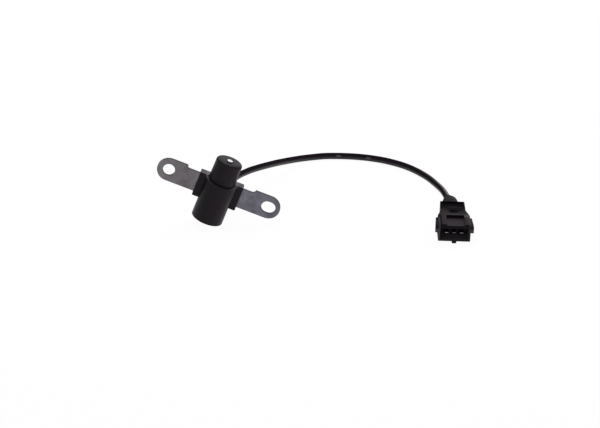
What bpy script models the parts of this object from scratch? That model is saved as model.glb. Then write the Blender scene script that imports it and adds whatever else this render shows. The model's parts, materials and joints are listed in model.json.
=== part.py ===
"""Crankshaft position sensor: moulded head on a steel strap, round cable and three-pin plug.

Units are metres and +Z is up. The head leans on the rim of its barrel, and the cable
and the plug lie on the floor plane at z = 0. The strap's thickness runs along Y.
"""
import math

import bmesh
import bpy
from mathutils import Matrix, Vector

MM = 0.001
GAP = 0.3 * MM
CUT_OVER = 1.0 * MM
ROUND_STEPS = 48
MEDIUM_STEPS = 32
SMALL_STEPS = 24
HOLE_STEPS = 16
PIN_STEPS = 12
EDGE_STEPS = 4
SPLINE_STEPS = 16
TUBE_RESOLUTION = 2
SMOOTH_ANGLE = math.radians(35)
SHARP_ANGLE = math.radians(60)

# Head housing, from the barrel's bottom face at z = 0 in the head's own frame
BARREL_RADIUS = 11.0 * MM
BARREL_HEIGHT = 29.4 * MM
BARREL_EDGE = 0.6 * MM
SHOULDER_EDGE = 0.6 * MM
TIP_RADIUS = 9.5 * MM
TIP_TAPER = 0.25 * MM
TIP_LENGTH = 15.9 * MM
TIP_EDGE = 1.0 * MM
TIP_WALL = 2.0 * MM
TIP_FACE = 2.2 * MM
RELIEF_DEPTH = 0.5 * MM
RELIEF_HEIGHT = 1.1 * MM
PAD_HALF_WIDTH = 15.6 * MM
PAD_FRONT_WALL = 2.15 * MM
PAD_BACK_WALL = 2.3 * MM
PAD_FOOT_WALL = 2.0 * MM
PAD_RISE = 1.1 * MM
PAD_EDGE = 0.7 * MM

# Steel strap
STRAP_WIDTH = 16.4 * MM
STRAP_THICKNESS = 2.2 * MM
STRAP_FRONT = 2.0 * MM
STRAP_DROP = 6.7 * MM
HOLE_SPACING = 72.6 * MM
ROUND_HOLE = 8.4 * MM
SLOT_LENGTH = 10.0 * MM
SLOT_WIDTH = 8.4 * MM
NECK_DROP = 2.1 * MM
NECK_LEFT = 24.8 * MM
NECK_RIGHT = 23.2 * MM
COIN_DEPTH = 0.15 * MM
COIN_HALF_LENGTH = 19.5 * MM
STRAP_EDGE = 0.25 * MM
EAR_STEPS = 20

# Cable outlet on the back of the head
OUTLET_TURN = math.radians(18)
OUTLET_DROP = 6.5 * MM
OUTLET_RADIUS = 5.6 * MM
OUTLET_REACH = 17.5 * MM
SOCKET_RADIUS = 4.3 * MM
SOCKET_DEPTH = 5.0 * MM
WIRE_BORE = 2.2 * MM
GLAND_LENGTH = 7.2 * MM
GLAND_FLANGE = 1.2 * MM
GLAND_FLANGE_RADIUS = 4.9 * MM
GLAND_NECK_RADIUS = 3.0 * MM
GLAND_GROOVE = 0.5 * MM

# Coil, magnet and pole
POLE_RADIUS = 2.0 * MM
POLE_PROUD = 0.8 * MM
POLE_CHAMFER = 0.15 * MM
MAGNET_RADIUS = 4.5 * MM
MAGNET_LENGTH = 4.0 * MM
BOBBIN_WALL = 0.8 * MM
BOBBIN_FLANGE = 1.2 * MM
WINDING_DEPTH = 2.6 * MM
TAPE_THICKNESS = 0.35 * MM
PIN_RADIUS = 0.3 * MM
PIN_SPREAD = 2.4 * MM
PIN_BACK = 5.5 * MM
PIN_SOCKET = 3.0 * MM
PIN_TAIL = 3.3 * MM
LEAD_RADIUS = 0.5 * MM
LEAD_SPREAD = 0.9 * MM
LEAD_DIP = 0.8 * MM
LEAD_SAG = 0.5 * MM

# Plug that closes the barrel's bore from below
PLUG_RECESS = 0.8 * MM
PLUG_GROOVE = 0.5 * MM
PLUG_GROOVE_WIDTH = 1.2 * MM

# Cable
CABLE_RADIUS = 2.25 * MM
CABLE_STEP = 9.0 * MM

# Three-pin connector, from the front of its mouth, with its key's foot at z = 0
SHELL_BOTTOM = 1.6 * MM
SHELL_HEIGHT = 12.6 * MM
COLLAR_HALF_WIDTH = 11.0 * MM
COLLAR_LENGTH = 16.2 * MM
FLARE_LENGTH = 9.1 * MM
TAIL_LENGTH = 15.0 * MM
TAIL_HALF_WIDTH = 8.5 * MM
TAIL_NARROWING = 0.2 * MM
SHELL_EDGE = 0.5 * MM
SHELL_WALL = 1.2 * MM
MOUTH_DEPTH = 14.0 * MM
MOUTH_ROOF = 1.2 * MM
WEB_THICKNESS = 10.0 * MM
RECESS_LEFT = 5.2 * MM
RECESS_RIGHT = 7.0 * MM
RECESS_DEPTH = 2.1 * MM
RECESS_RISE = 1.0 * MM
THUMB_RADIUS = 3.0 * MM
THUMB_DEPTH = 0.9 * MM
THUMB_SETBACK = 5.4 * MM
POCKET_LENGTH = 10.8 * MM
POCKET_FLOOR = 1.1 * MM
POCKET_RIM = 1.0 * MM
RIB_REACH_FRONT = 2.1 * MM
RIB_REACH_REAR = 1.3 * MM
RIB_NOSE = 1.9 * MM
RIB_HEEL = 0.8 * MM
RIB_HEIGHT = 4.5 * MM
RIB_DROP = 1.7 * MM
KEY_HALF_ROOT = 1.9 * MM
KEY_HALF_TIP = 1.35 * MM
KEY_LENGTH = 15.0 * MM
CAVITY_HALF_WIDTH = 7.4 * MM
CAVITY_HEIGHT = 6.0 * MM

# Contacts, lock, seal and boot of the connector
CONTACT_PITCH = 5.1 * MM
CONTACT_WIDTH = 2.8 * MM
CONTACT_THICKNESS = 0.7 * MM
CONTACT_HEIGHT = 5.8 * MM
CONTACT_RECESS = 5.2 * MM
CONTACT_TIP = 0.3 * MM
CONTACT_TAIL_WIDTH = 1.8 * MM
CONTACT_TAIL_LENGTH = 2.4 * MM
LOCK_THICKNESS = 2.6 * MM
SEAL_THICKNESS = 3.4 * MM
SEAL_SETBACK = 3.4 * MM
LEAD_GATHER = 0.8
BOOT_LENGTH = 18.2 * MM
BOOT_RADIUS = 5.4 * MM
BOOT_END_RADIUS = 2.95 * MM
BOOT_FLATTENING = 0.9
BOOT_HEIGHT = 7.9 * MM
BOOT_BEND = 1.8 * MM
BOOT_STEPS = 28

# How the pieces lie: the head's lean, and the connector's place, turn and roll
HEAD_LEAN = math.radians(20.6)
CONNECTOR_X = 162.5 * MM
CONNECTOR_Y = -24.6 * MM
CONNECTOR_TURN = math.radians(6.5)
CONNECTOR_ROLL = math.radians(2.6)

# Cable route in millimetres, chosen by hand, from the gland's end to the boot's end
CABLE_ROUTE = [
    (7.4, 20.4, 22.4),
    (9.2, 26.4, 21.9),
    (11.6, 34.0, 20.8),
    (14.9, 41.8, 19.6),
    (18.4, 49.4, 18.3),
    (25.5, 63.4, 15.3),
    (32.5, 77.8, 11.7),
    (39.5, 91.6, 7.9),
    (46.8, 103.2, 4.8),
    (54.3, 110.7, 3.0),
    (62.2, 114.8, 2.4),
    (70.4, 116.1, 2.3),
    (78.7, 116.3, 2.3),
    (86.9, 115.7, 2.3),
    (95.3, 114.1, 2.3),
    (103.8, 111.3, 2.3),
    (112.4, 107.1, 2.3),
    (121.2, 101.1, 2.3),
    (130.2, 92.2, 2.3),
    (138.2, 81.4, 2.4),
    (144.2, 69.8, 2.9),
    (148.8, 56.8, 4.8),
    (152.0, 44.0, 6.9),
    (154.3, 33.9, 8.0),
]

# Heights and radii that follow from the sizes above
BORE_RADIUS = TIP_RADIUS - TIP_WALL
HEAD_HEIGHT = BARREL_HEIGHT + TIP_LENGTH
BORE_TOP = HEAD_HEIGHT - TIP_FACE
STRAP_BACK = STRAP_FRONT + STRAP_THICKNESS
STRAP_Z = BARREL_HEIGHT - STRAP_DROP
STRAP_TOP = STRAP_Z + STRAP_WIDTH / 2
STRAP_BOTTOM = STRAP_Z - STRAP_WIDTH / 2
NECK_TOP = STRAP_TOP - NECK_DROP
OUTLET_Z = BARREL_HEIGHT - OUTLET_DROP
SOCKET_START = OUTLET_REACH - SOCKET_DEPTH
GLAND_START = SOCKET_START + GAP
GLAND_END = OUTLET_REACH + GAP + GLAND_LENGTH
BOBBIN_BOTTOM = NECK_TOP + GAP
BOBBIN_TOP = BORE_TOP - GAP
BOBBIN_RADIUS = BORE_RADIUS - GAP
MAGNET_TOP = BOBBIN_BOTTOM + MAGNET_LENGTH
CUP_TOP = MAGNET_TOP + GAP + BOBBIN_FLANGE
CORE_RADIUS = POLE_RADIUS + GAP + BOBBIN_WALL
WINDING_INNER = CORE_RADIUS + GAP
WINDING_OUTER = WINDING_INNER + WINDING_DEPTH
SHELL_TOP = SHELL_BOTTOM + SHELL_HEIGHT
SHELL_LENGTH = COLLAR_LENGTH + FLARE_LENGTH + TAIL_LENGTH
RECESS_BACK = SHELL_TOP - RECESS_DEPTH
CAVITY_START = MOUTH_DEPTH + WEB_THICKNESS
CAVITY_BOTTOM = CONTACT_HEIGHT - CAVITY_HEIGHT / 2
CAVITY_TOP = CONTACT_HEIGHT + CAVITY_HEIGHT / 2
BOOT_STATIONS = [
    (0.0, 0.97),
    (0.25, 1.0),
    (0.5, 1.0),
    (0.66, 0.96),
    (0.77, 0.86),
    (0.85, 0.68),
    (0.92, 0.57),
    (1.0, BOOT_END_RADIUS / BOOT_RADIUS),
]
HEAD_BACK = OUTLET_REACH * math.cos(OUTLET_TURN) + OUTLET_RADIUS * math.sin(OUTLET_TURN)
HEAD_PLACE = (
    -STRAP_Z * math.sin(HEAD_LEAN),
    (BARREL_RADIUS - HEAD_BACK) / 2,
    (BARREL_RADIUS - BARREL_EDGE) * math.sin(HEAD_LEAN) + BARREL_EDGE * (1 - math.cos(HEAD_LEAN)),
)


def clear_scene():
    """Empties the scene of earlier objects."""
    for item in list(bpy.data.objects):
        bpy.data.objects.remove(item)


def finish(name, colour, roughness, metallic=0.0):
    """Makes a Principled material of one plain colour."""
    made = bpy.data.materials.new(name)
    made.use_nodes = True
    shader = made.node_tree.nodes["Principled BSDF"]
    shader.inputs["Base Color"].default_value = (*colour, 1.0)
    shader.inputs["Roughness"].default_value = roughness
    shader.inputs["Metallic"].default_value = metallic
    return made


def frame_empty(name, location, rotation, parent=None):
    """Adds an empty that carries the pieces placed in its own frame."""
    empty = bpy.data.objects.new(name, None)
    empty.location = location
    empty.rotation_euler = rotation
    empty.parent = parent
    bpy.context.collection.objects.link(empty)
    return empty


def add_object(name, bm, parent, material=None, location=(0, 0, 0), rotation=(0, 0, 0)):
    """Turns a bmesh into a smooth-shaded object under its parent."""
    bmesh.ops.recalc_face_normals(bm, faces=bm.faces)
    mesh = bpy.data.meshes.new(name)
    bm.to_mesh(mesh)
    bm.free()
    mesh.shade_smooth()
    mesh.set_sharp_from_angle(angle=SMOOTH_ANGLE)
    made = bpy.data.objects.new(name, mesh)
    made.location = location
    made.rotation_euler = rotation
    made.parent = parent
    if material is not None:
        mesh.materials.append(material)
    bpy.context.collection.objects.link(made)
    return made


def add_tool(name, bm, parent, location=(0, 0, 0), rotation=(0, 0, 0)):
    """Adds a hidden shape that is only joined to or cut from another."""
    tool = add_object(name, bm, parent, None, location, rotation)
    tool.hide_render = True
    tool.display_type = "WIRE"
    return tool


def combine(target, tool, operation="DIFFERENCE"):
    """Joins a tool to a piece, or cuts it away."""
    change = target.modifiers.new(f"{operation.lower()}_{tool.name}", "BOOLEAN")
    change.operation = operation
    change.solver = "EXACT"
    change.object = tool


def soften(piece, width):
    """Rounds every sharp edge of a piece after its cuts."""
    change = piece.modifiers.new("soft_edges", "BEVEL")
    change.width = width
    change.segments = 2
    change.limit_method = "ANGLE"
    change.angle_limit = SHARP_ANGLE


def arc(centre, radius, start, end, steps=EDGE_STEPS):
    """Points of a circular arc, with angles in degrees from the first axis."""
    points = []
    for i in range(steps + 1):
        angle = math.radians(start + (end - start) * i / steps)
        points.append((centre[0] + radius * math.cos(angle), centre[1] + radius * math.sin(angle)))
    return points


def turned(profile, steps=ROUND_STEPS):
    """Revolves a closed profile of (radius, height) points about Z."""
    bm = bmesh.new()
    rings = []
    for radius, height in profile:
        if radius < 1e-9:
            rings.append([bm.verts.new((0, 0, height))])
            continue
        ring = []
        for i in range(steps):
            angle = 2 * math.pi * i / steps
            ring.append(bm.verts.new((radius * math.cos(angle), radius * math.sin(angle), height)))
        rings.append(ring)
    for low, high in zip(rings, rings[1:] + rings[:1]):
        if len(low) == 1 and len(high) == 1:
            continue
        for i in range(steps):
            j = (i + 1) % steps
            corners = [low[i % len(low)], low[j % len(low)], high[j % len(high)], high[i % len(high)]]
            bm.faces.new(list(dict.fromkeys(corners)))
    return bm


def sleeve(inner, outer, low, high, steps=ROUND_STEPS):
    """A plain hollow cylinder."""
    return turned([(inner, low), (outer, low), (outer, high), (inner, high)], steps)


def rod(radius, low, high, steps=ROUND_STEPS):
    """A plain solid cylinder."""
    return turned([(0, low), (radius, low), (radius, high), (0, high)], steps)


def extruded(outline, low, high, axis="Z"):
    """Extrudes an outline of two coordinates along the third."""
    spots = {
        "Z": lambda a, b, c: (a, b, c),
        "Y": lambda a, b, c: (a, c, b),
        "X": lambda a, b, c: (c, a, b),
    }[axis]
    bm = bmesh.new()
    face = bm.faces.new([bm.verts.new(spots(a, b, low)) for a, b in outline])
    lift = Vector(spots(0, 0, high - low))
    grown = bmesh.ops.extrude_face_region(bm, geom=[face])
    moved = [item for item in grown["geom"] if isinstance(item, bmesh.types.BMVert)]
    bmesh.ops.translate(bm, verts=moved, vec=lift)
    return bm


def rectangle(left, right, low, high):
    """Corner points of a rectangle."""
    return [(left, low), (right, low), (right, high), (left, high)]


def block(x_range, y_range, z_range):
    """A plain box between two corners."""
    return extruded(rectangle(*x_range, *y_range), *z_range)


def round_edges(bm, width, wanted, steps=2):
    """Rounds the edges that a test picks out."""
    edges = [edge for edge in bm.edges if wanted(edge)]
    bmesh.ops.bevel(bm, geom=edges, offset=width, segments=steps, profile=0.5, affect="EDGES")
    return bm


def runs_along(axis):
    """A test for edges that run along one axis."""
    def test(edge):
        along = (edge.verts[1].co - edge.verts[0].co).normalized()
        return abs(along[axis]) > 0.9
    return test


def smooth_path(points, step):
    """Spreads points evenly along a smooth curve through the given ones."""
    knots = [Vector(point) for point in points]
    ends = [2 * knots[0] - knots[1], *knots, 2 * knots[-1] - knots[-2]]
    fine = []
    for i in range(1, len(ends) - 2):
        before, start, stop, after = ends[i - 1:i + 3]
        for k in range(SPLINE_STEPS):
            t = k / SPLINE_STEPS
            bend = (2 * before - 5 * start + 4 * stop - after) * t * t
            twist = (3 * start - before - 3 * stop + after) * t * t * t
            fine.append((2 * start + (stop - before) * t + bend + twist) / 2)
    fine.append(knots[-1])
    reach = [0.0]
    for here, there in zip(fine, fine[1:]):
        reach.append(reach[-1] + (there - here).length)
    count = max(2, round(reach[-1] / step))
    spread = []
    at = 0
    for i in range(count + 1):
        goal = reach[-1] * i / count
        while at < len(reach) - 2 and reach[at + 1] < goal:
            at += 1
        share = (goal - reach[at]) / (reach[at + 1] - reach[at])
        spread.append(fine[at].lerp(fine[at + 1], min(share, 1.0)))
    return spread


def tube(name, points, radius, material, parent=None):
    """Adds a round wire along a row of points, closed at both ends."""
    curve = bpy.data.curves.new(name, "CURVE")
    curve.dimensions = "3D"
    curve.bevel_depth = radius
    curve.bevel_resolution = TUBE_RESOLUTION
    curve.use_fill_caps = True
    spline = curve.splines.new("POLY")
    spline.points.add(len(points) - 1)
    for spot, point in zip(spline.points, points):
        spot.co = (*point, 1.0)
    spline.use_smooth = True
    curve.materials.append(material)
    made = bpy.data.objects.new(name, curve)
    made.parent = parent
    bpy.context.collection.objects.link(made)
    return made


def housing_profile():
    """Outer section of the head: rounded barrel, shoulder, relief groove and tapered tip."""
    top_radius = TIP_RADIUS - TIP_TAPER
    profile = [(0, 0)]
    profile += arc((BARREL_RADIUS - BARREL_EDGE, BARREL_EDGE), BARREL_EDGE, -90, 0)
    profile += arc((BARREL_RADIUS - SHOULDER_EDGE, BARREL_HEIGHT - SHOULDER_EDGE), SHOULDER_EDGE, 0, 90)
    profile.append((TIP_RADIUS - RELIEF_DEPTH, BARREL_HEIGHT))
    profile.append((TIP_RADIUS - RELIEF_DEPTH, BARREL_HEIGHT + RELIEF_HEIGHT / 2))
    profile.append((TIP_RADIUS, BARREL_HEIGHT + RELIEF_HEIGHT))
    profile += arc((top_radius - TIP_EDGE, HEAD_HEIGHT - TIP_EDGE), TIP_EDGE, 0, 90, 6)
    profile.append((0, HEAD_HEIGHT))
    return profile


def build_housing(head, outlet, material):
    """One moulding: barrel, tip, side pads round the strap, and the cable outlet."""
    housing = add_object("sensor_housing", turned(housing_profile()), head, material)
    pads = block(
        (-PAD_HALF_WIDTH, PAD_HALF_WIDTH),
        (STRAP_FRONT - PAD_FRONT_WALL, STRAP_BACK + PAD_BACK_WALL),
        (STRAP_BOTTOM - PAD_FOOT_WALL, BARREL_HEIGHT + PAD_RISE),
    )
    round_edges(pads, PAD_EDGE, runs_along(2))
    boss = rod(OUTLET_RADIUS, 0, OUTLET_REACH, MEDIUM_STEPS)
    pole_hole = POLE_RADIUS + GAP
    bore = turned([
        (0, -CUT_OVER),
        (BORE_RADIUS, -CUT_OVER),
        (BORE_RADIUS, BORE_TOP),
        (pole_hole, BORE_TOP),
        (pole_hole, HEAD_HEIGHT + CUT_OVER),
        (0, HEAD_HEIGHT + CUT_OVER),
    ])
    reach = PAD_HALF_WIDTH + CUT_OVER
    slot = block(
        (-reach, reach),
        (STRAP_FRONT - GAP, STRAP_BACK + GAP),
        (STRAP_BOTTOM - GAP, NECK_TOP + GAP),
    )
    socket = turned([
        (0, BORE_RADIUS - CUT_OVER),
        (WIRE_BORE, BORE_RADIUS - CUT_OVER),
        (WIRE_BORE, SOCKET_START),
        (SOCKET_RADIUS, SOCKET_START),
        (SOCKET_RADIUS, OUTLET_REACH + CUT_OVER),
        (0, OUTLET_REACH + CUT_OVER),
    ], MEDIUM_STEPS)
    combine(housing, add_tool("pad_block", pads, head), "UNION")
    combine(housing, add_tool("outlet_boss", boss, outlet), "UNION")
    combine(housing, add_tool("bore_cut", bore, head))
    combine(housing, add_tool("strap_cut", slot, head))
    combine(housing, add_tool("socket_cut", socket, outlet))
    return housing


def build_rear_plug(head, material):
    """The plug that closes the barrel's bore, with two sealing grooves."""
    radius = BORE_RADIUS - GAP
    top = STRAP_BOTTOM - GAP
    groove = radius - PLUG_GROOVE
    profile = [(0, PLUG_RECESS), (radius, PLUG_RECESS)]
    for share in (1 / 3, 2 / 3):
        middle = PLUG_RECESS + (top - PLUG_RECESS) * share
        low, high = middle - PLUG_GROOVE_WIDTH / 2, middle + PLUG_GROOVE_WIDTH / 2
        profile += [(radius, low), (groove, low), (groove, high), (radius, high)]
    profile += [(radius, top), (0, top)]
    return add_object("rear_plug", turned(profile), head, material)


def strap_outline():
    """Front view of the strap: round ends and a top edge stepped down between the ears."""
    ear = STRAP_WIDTH / 2
    hole_x = HOLE_SPACING / 2
    corner = NECK_DROP / 2
    left, right = corner - NECK_LEFT, NECK_RIGHT - corner
    outline = arc((hole_x, STRAP_Z), ear, -90, 90, EAR_STEPS)
    outline += arc((right, STRAP_TOP), NECK_DROP, 0, -90)
    outline += arc((left, NECK_TOP + corner), corner, 270, 180)
    outline += arc((left - NECK_DROP, NECK_TOP + corner), corner, 0, 90)[1:]
    outline += arc((-hole_x, STRAP_Z), ear, 90, 270, EAR_STEPS)
    return outline


def build_strap(head, material):
    """The stamped steel strap: round hole on the left, slot on the right, back coined between the ears."""
    hole_x = HOLE_SPACING / 2
    strap = add_object("mounting_strap", extruded(strap_outline(), STRAP_FRONT, STRAP_BACK, "Y"), head, material)
    front, back = STRAP_FRONT - CUT_OVER, STRAP_BACK + CUT_OVER
    hole = arc((-hole_x, STRAP_Z), ROUND_HOLE / 2, 0, 360, MEDIUM_STEPS)[1:]
    half = (SLOT_LENGTH - SLOT_WIDTH) / 2
    slot = arc((hole_x + half, STRAP_Z), SLOT_WIDTH / 2, -90, 90, HOLE_STEPS)
    slot += arc((hole_x - half, STRAP_Z), SLOT_WIDTH / 2, 90, 270, HOLE_STEPS)
    combine(strap, add_tool("round_hole_cut", extruded(hole, front, back, "Y"), head))
    combine(strap, add_tool("slot_cut", extruded(slot, front, back, "Y"), head))
    soften(strap, STRAP_EDGE)
    coin = block(
        (-COIN_HALF_LENGTH, COIN_HALF_LENGTH),
        (STRAP_BACK - COIN_DEPTH, back),
        (STRAP_BOTTOM - CUT_OVER, STRAP_TOP + CUT_OVER),
    )
    combine(strap, add_tool("coin_cut", coin, head))
    return strap


def build_coil(head, plastic, copper, film, steel, magnet_grey):
    """Pole piece, magnet, bobbin, winding and tape, stacked above the strap."""
    pole_top = HEAD_HEIGHT + POLE_PROUD
    pole = [(0, MAGNET_TOP + GAP), (POLE_RADIUS, MAGNET_TOP + GAP)]
    pole += [(POLE_RADIUS, pole_top - POLE_CHAMFER), (POLE_RADIUS - POLE_CHAMFER, pole_top), (0, pole_top)]
    add_object("pole_piece", turned(pole, SMALL_STEPS), head, steel)
    add_object("magnet", rod(MAGNET_RADIUS, BOBBIN_BOTTOM, MAGNET_TOP, MEDIUM_STEPS), head, magnet_grey)

    pocket = MAGNET_RADIUS + GAP
    bore = POLE_RADIUS + GAP
    flange_low = BOBBIN_TOP - BOBBIN_FLANGE
    spool = [
        (pocket, BOBBIN_BOTTOM),
        (BOBBIN_RADIUS, BOBBIN_BOTTOM),
        (BOBBIN_RADIUS, CUP_TOP),
        (CORE_RADIUS, CUP_TOP),
        (CORE_RADIUS, flange_low),
        (BOBBIN_RADIUS, flange_low),
        (BOBBIN_RADIUS, BOBBIN_TOP),
        (bore, BOBBIN_TOP),
        (bore, MAGNET_TOP + GAP),
        (pocket, MAGNET_TOP + GAP),
    ]
    bobbin = add_object("coil_bobbin", turned(spool), head, plastic)
    low, high = CUP_TOP + GAP, flange_low - GAP
    add_object("coil_winding", sleeve(WINDING_INNER, WINDING_OUTER, low, high), head, copper)
    tape_inner = WINDING_OUTER + GAP
    add_object("winding_tape", sleeve(tape_inner, tape_inner + TAPE_THICKNESS, low, high), head, film)
    for side, name in ((-1, "coil_pin_return"), (1, "coil_pin_signal")):
        spot = (side * PIN_SPREAD, PIN_BACK, BOBBIN_BOTTOM)
        hole = rod(PIN_RADIUS + GAP, -CUT_OVER, PIN_SOCKET, HOLE_STEPS)
        combine(bobbin, add_tool(f"{name}_cut", hole, head, spot))
        pin = rod(PIN_RADIUS, -PIN_TAIL, PIN_SOCKET - GAP, PIN_STEPS)
        add_object(name, pin, head, steel, spot)


def outlet_point(reach, aside):
    """A point in the head's frame, out along the cable outlet and beside its axis."""
    along = Vector((math.sin(OUTLET_TURN), math.cos(OUTLET_TURN), 0))
    across = Vector((along.y, -along.x, 0))
    return along * reach + across * aside + Vector((0, 0, OUTLET_Z))


def build_head_leads(head, red, blue):
    """Two insulated wires from the coil's pins, down behind the strap and out to the gland."""
    finishes = {-1: ("head_lead_return", blue), 1: ("head_lead_signal", red)}
    for side, (name, material) in finishes.items():
        start = Vector((side * PIN_SPREAD, PIN_BACK, BOBBIN_BOTTOM - PIN_TAIL - GAP))
        entry = outlet_point(BORE_RADIUS + LEAD_RADIUS, side * LEAD_SPREAD)
        points = [
            start,
            start - Vector((0, 0, LEAD_DIP)),
            start.lerp(entry, 0.5) - Vector((0, 0, LEAD_SAG)),
            entry,
            outlet_point((BORE_RADIUS + SOCKET_START) / 2, side * LEAD_SPREAD),
            outlet_point(SOCKET_START, side * LEAD_SPREAD),
        ]
        tube(name, smooth_path(points, 2 * LEAD_RADIUS), LEAD_RADIUS, material, head)


def build_gland(outlet, material):
    """The rubber gland in the outlet, with a flange and a grooved taper."""
    shank = SOCKET_RADIUS - GAP
    flange_low = OUTLET_REACH + GAP
    flange_high = flange_low + GLAND_FLANGE
    profile = [(0, GLAND_START), (shank, GLAND_START), (shank, flange_low)]
    profile += [(GLAND_FLANGE_RADIUS, flange_low), (GLAND_FLANGE_RADIUS, flange_high)]
    rings = 3
    pitch = (GLAND_END - flange_high) / rings
    for i in range(rings):
        low = flange_high + pitch * i
        outer = shank + (GLAND_NECK_RADIUS - shank) * (i + 0.5) / rings
        profile += [(outer - GLAND_GROOVE, low), (outer - GLAND_GROOVE, low + pitch / 2)]
        profile += [(outer, low + pitch / 2), (outer, low + pitch)]
    profile.append((0, GLAND_END))
    return add_object("cable_gland", turned(profile, MEDIUM_STEPS), outlet, material)


def shell_outline():
    """Plan of the connector's shell: wide collar, flare and a slightly narrowed tail."""
    flare_end = COLLAR_LENGTH + FLARE_LENGTH
    tail_end = TAIL_HALF_WIDTH - TAIL_NARROWING
    right = [
        (COLLAR_HALF_WIDTH, 0),
        (COLLAR_HALF_WIDTH, COLLAR_LENGTH),
        (TAIL_HALF_WIDTH, flare_end),
        (tail_end, SHELL_LENGTH),
    ]
    return right + [(-x, y) for x, y in reversed(right)]


def rib_outline(side):
    """Plan of one guide rib, deeper at the mouth than at the back."""
    root = COLLAR_HALF_WIDTH - CUT_OVER
    front, rear = COLLAR_HALF_WIDTH + RIB_REACH_FRONT, COLLAR_HALF_WIDTH + RIB_REACH_REAR
    outline = [(root, 0), (front, 0), (front, RIB_NOSE), (rear, COLLAR_LENGTH - RIB_HEEL)]
    outline.append((root, COLLAR_LENGTH))
    return [(side * x, y) for x, y in outline]


def build_shell(connector, material):
    """The connector's moulding: collar with an open mouth, guide ribs, key, flare and tail."""
    body = extruded(shell_outline(), SHELL_BOTTOM, SHELL_TOP)
    round_edges(body, SHELL_EDGE, lambda edge: True)
    shell = add_object("connector_shell", body, connector, material)

    rib_top = SHELL_TOP - RIB_DROP
    for side, name in ((-1, "left"), (1, "right")):
        rib = extruded(rib_outline(side), rib_top - RIB_HEIGHT, rib_top)
        combine(shell, add_tool(f"rib_{name}", rib, connector), "UNION")
    key = [(-KEY_HALF_ROOT, SHELL_BOTTOM + SHELL_WALL / 2), (-KEY_HALF_TIP, 0)]
    key += [(-x, z) for x, z in reversed(key)]
    foot = extruded(key, SHELL_EDGE, KEY_LENGTH, "Y")
    combine(shell, add_tool("locating_key", foot, connector), "UNION")

    mouth_half = COLLAR_HALF_WIDTH - SHELL_WALL
    mouth = block(
        (-mouth_half, mouth_half),
        (-CUT_OVER, MOUTH_DEPTH),
        (SHELL_BOTTOM + SHELL_WALL, RECESS_BACK - MOUTH_ROOF),
    )
    round_edges(mouth, SHELL_EDGE, runs_along(1))
    combine(shell, add_tool("mouth_cut", mouth, connector))
    over = SHELL_TOP + CUT_OVER
    ramp = [
        (-CUT_OVER, RECESS_BACK + RECESS_RISE),
        (0, RECESS_BACK + RECESS_RISE),
        (COLLAR_LENGTH, RECESS_BACK),
        (COLLAR_LENGTH, over),
        (-CUT_OVER, over),
    ]
    recess = extruded(ramp, -RECESS_LEFT, RECESS_RIGHT, "X")
    combine(shell, add_tool("recess_cut", recess, connector))
    thumb = rod(THUMB_RADIUS, SHELL_TOP - THUMB_DEPTH, over, SMALL_STEPS)
    thumb_place = (0, COLLAR_LENGTH + THUMB_SETBACK, 0)
    combine(shell, add_tool("thumb_cut", thumb, connector, thumb_place))
    pocket_half = TAIL_HALF_WIDTH - TAIL_NARROWING - POCKET_RIM
    pocket = block(
        (-pocket_half, pocket_half),
        (SHELL_LENGTH - POCKET_RIM - POCKET_LENGTH, SHELL_LENGTH - POCKET_RIM),
        (CAVITY_TOP + POCKET_FLOOR, over),
    )
    combine(shell, add_tool("pocket_cut", pocket, connector))
    cavity = block(
        (-CAVITY_HALF_WIDTH, CAVITY_HALF_WIDTH),
        (CAVITY_START, SHELL_LENGTH + CUT_OVER),
        (CAVITY_BOTTOM, CAVITY_TOP),
    )
    combine(shell, add_tool("cavity_cut", cavity, connector))
    for i in (-1, 0, 1):
        slot = contact_hole(MOUTH_DEPTH - CUT_OVER, CAVITY_START + CUT_OVER)
        combine(shell, add_tool(f"web_cut_{i + 2}", slot, connector, (i * CONTACT_PITCH, 0, 0)))
    return shell


def contact_hole(front, back):
    """A box that lets one contact through with its clearance."""
    half_width = CONTACT_WIDTH / 2 + GAP
    half_height = CONTACT_THICKNESS / 2 + GAP
    return block(
        (-half_width, half_width),
        (front, back),
        (CONTACT_HEIGHT - half_height, CONTACT_HEIGHT + half_height),
    )


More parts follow.
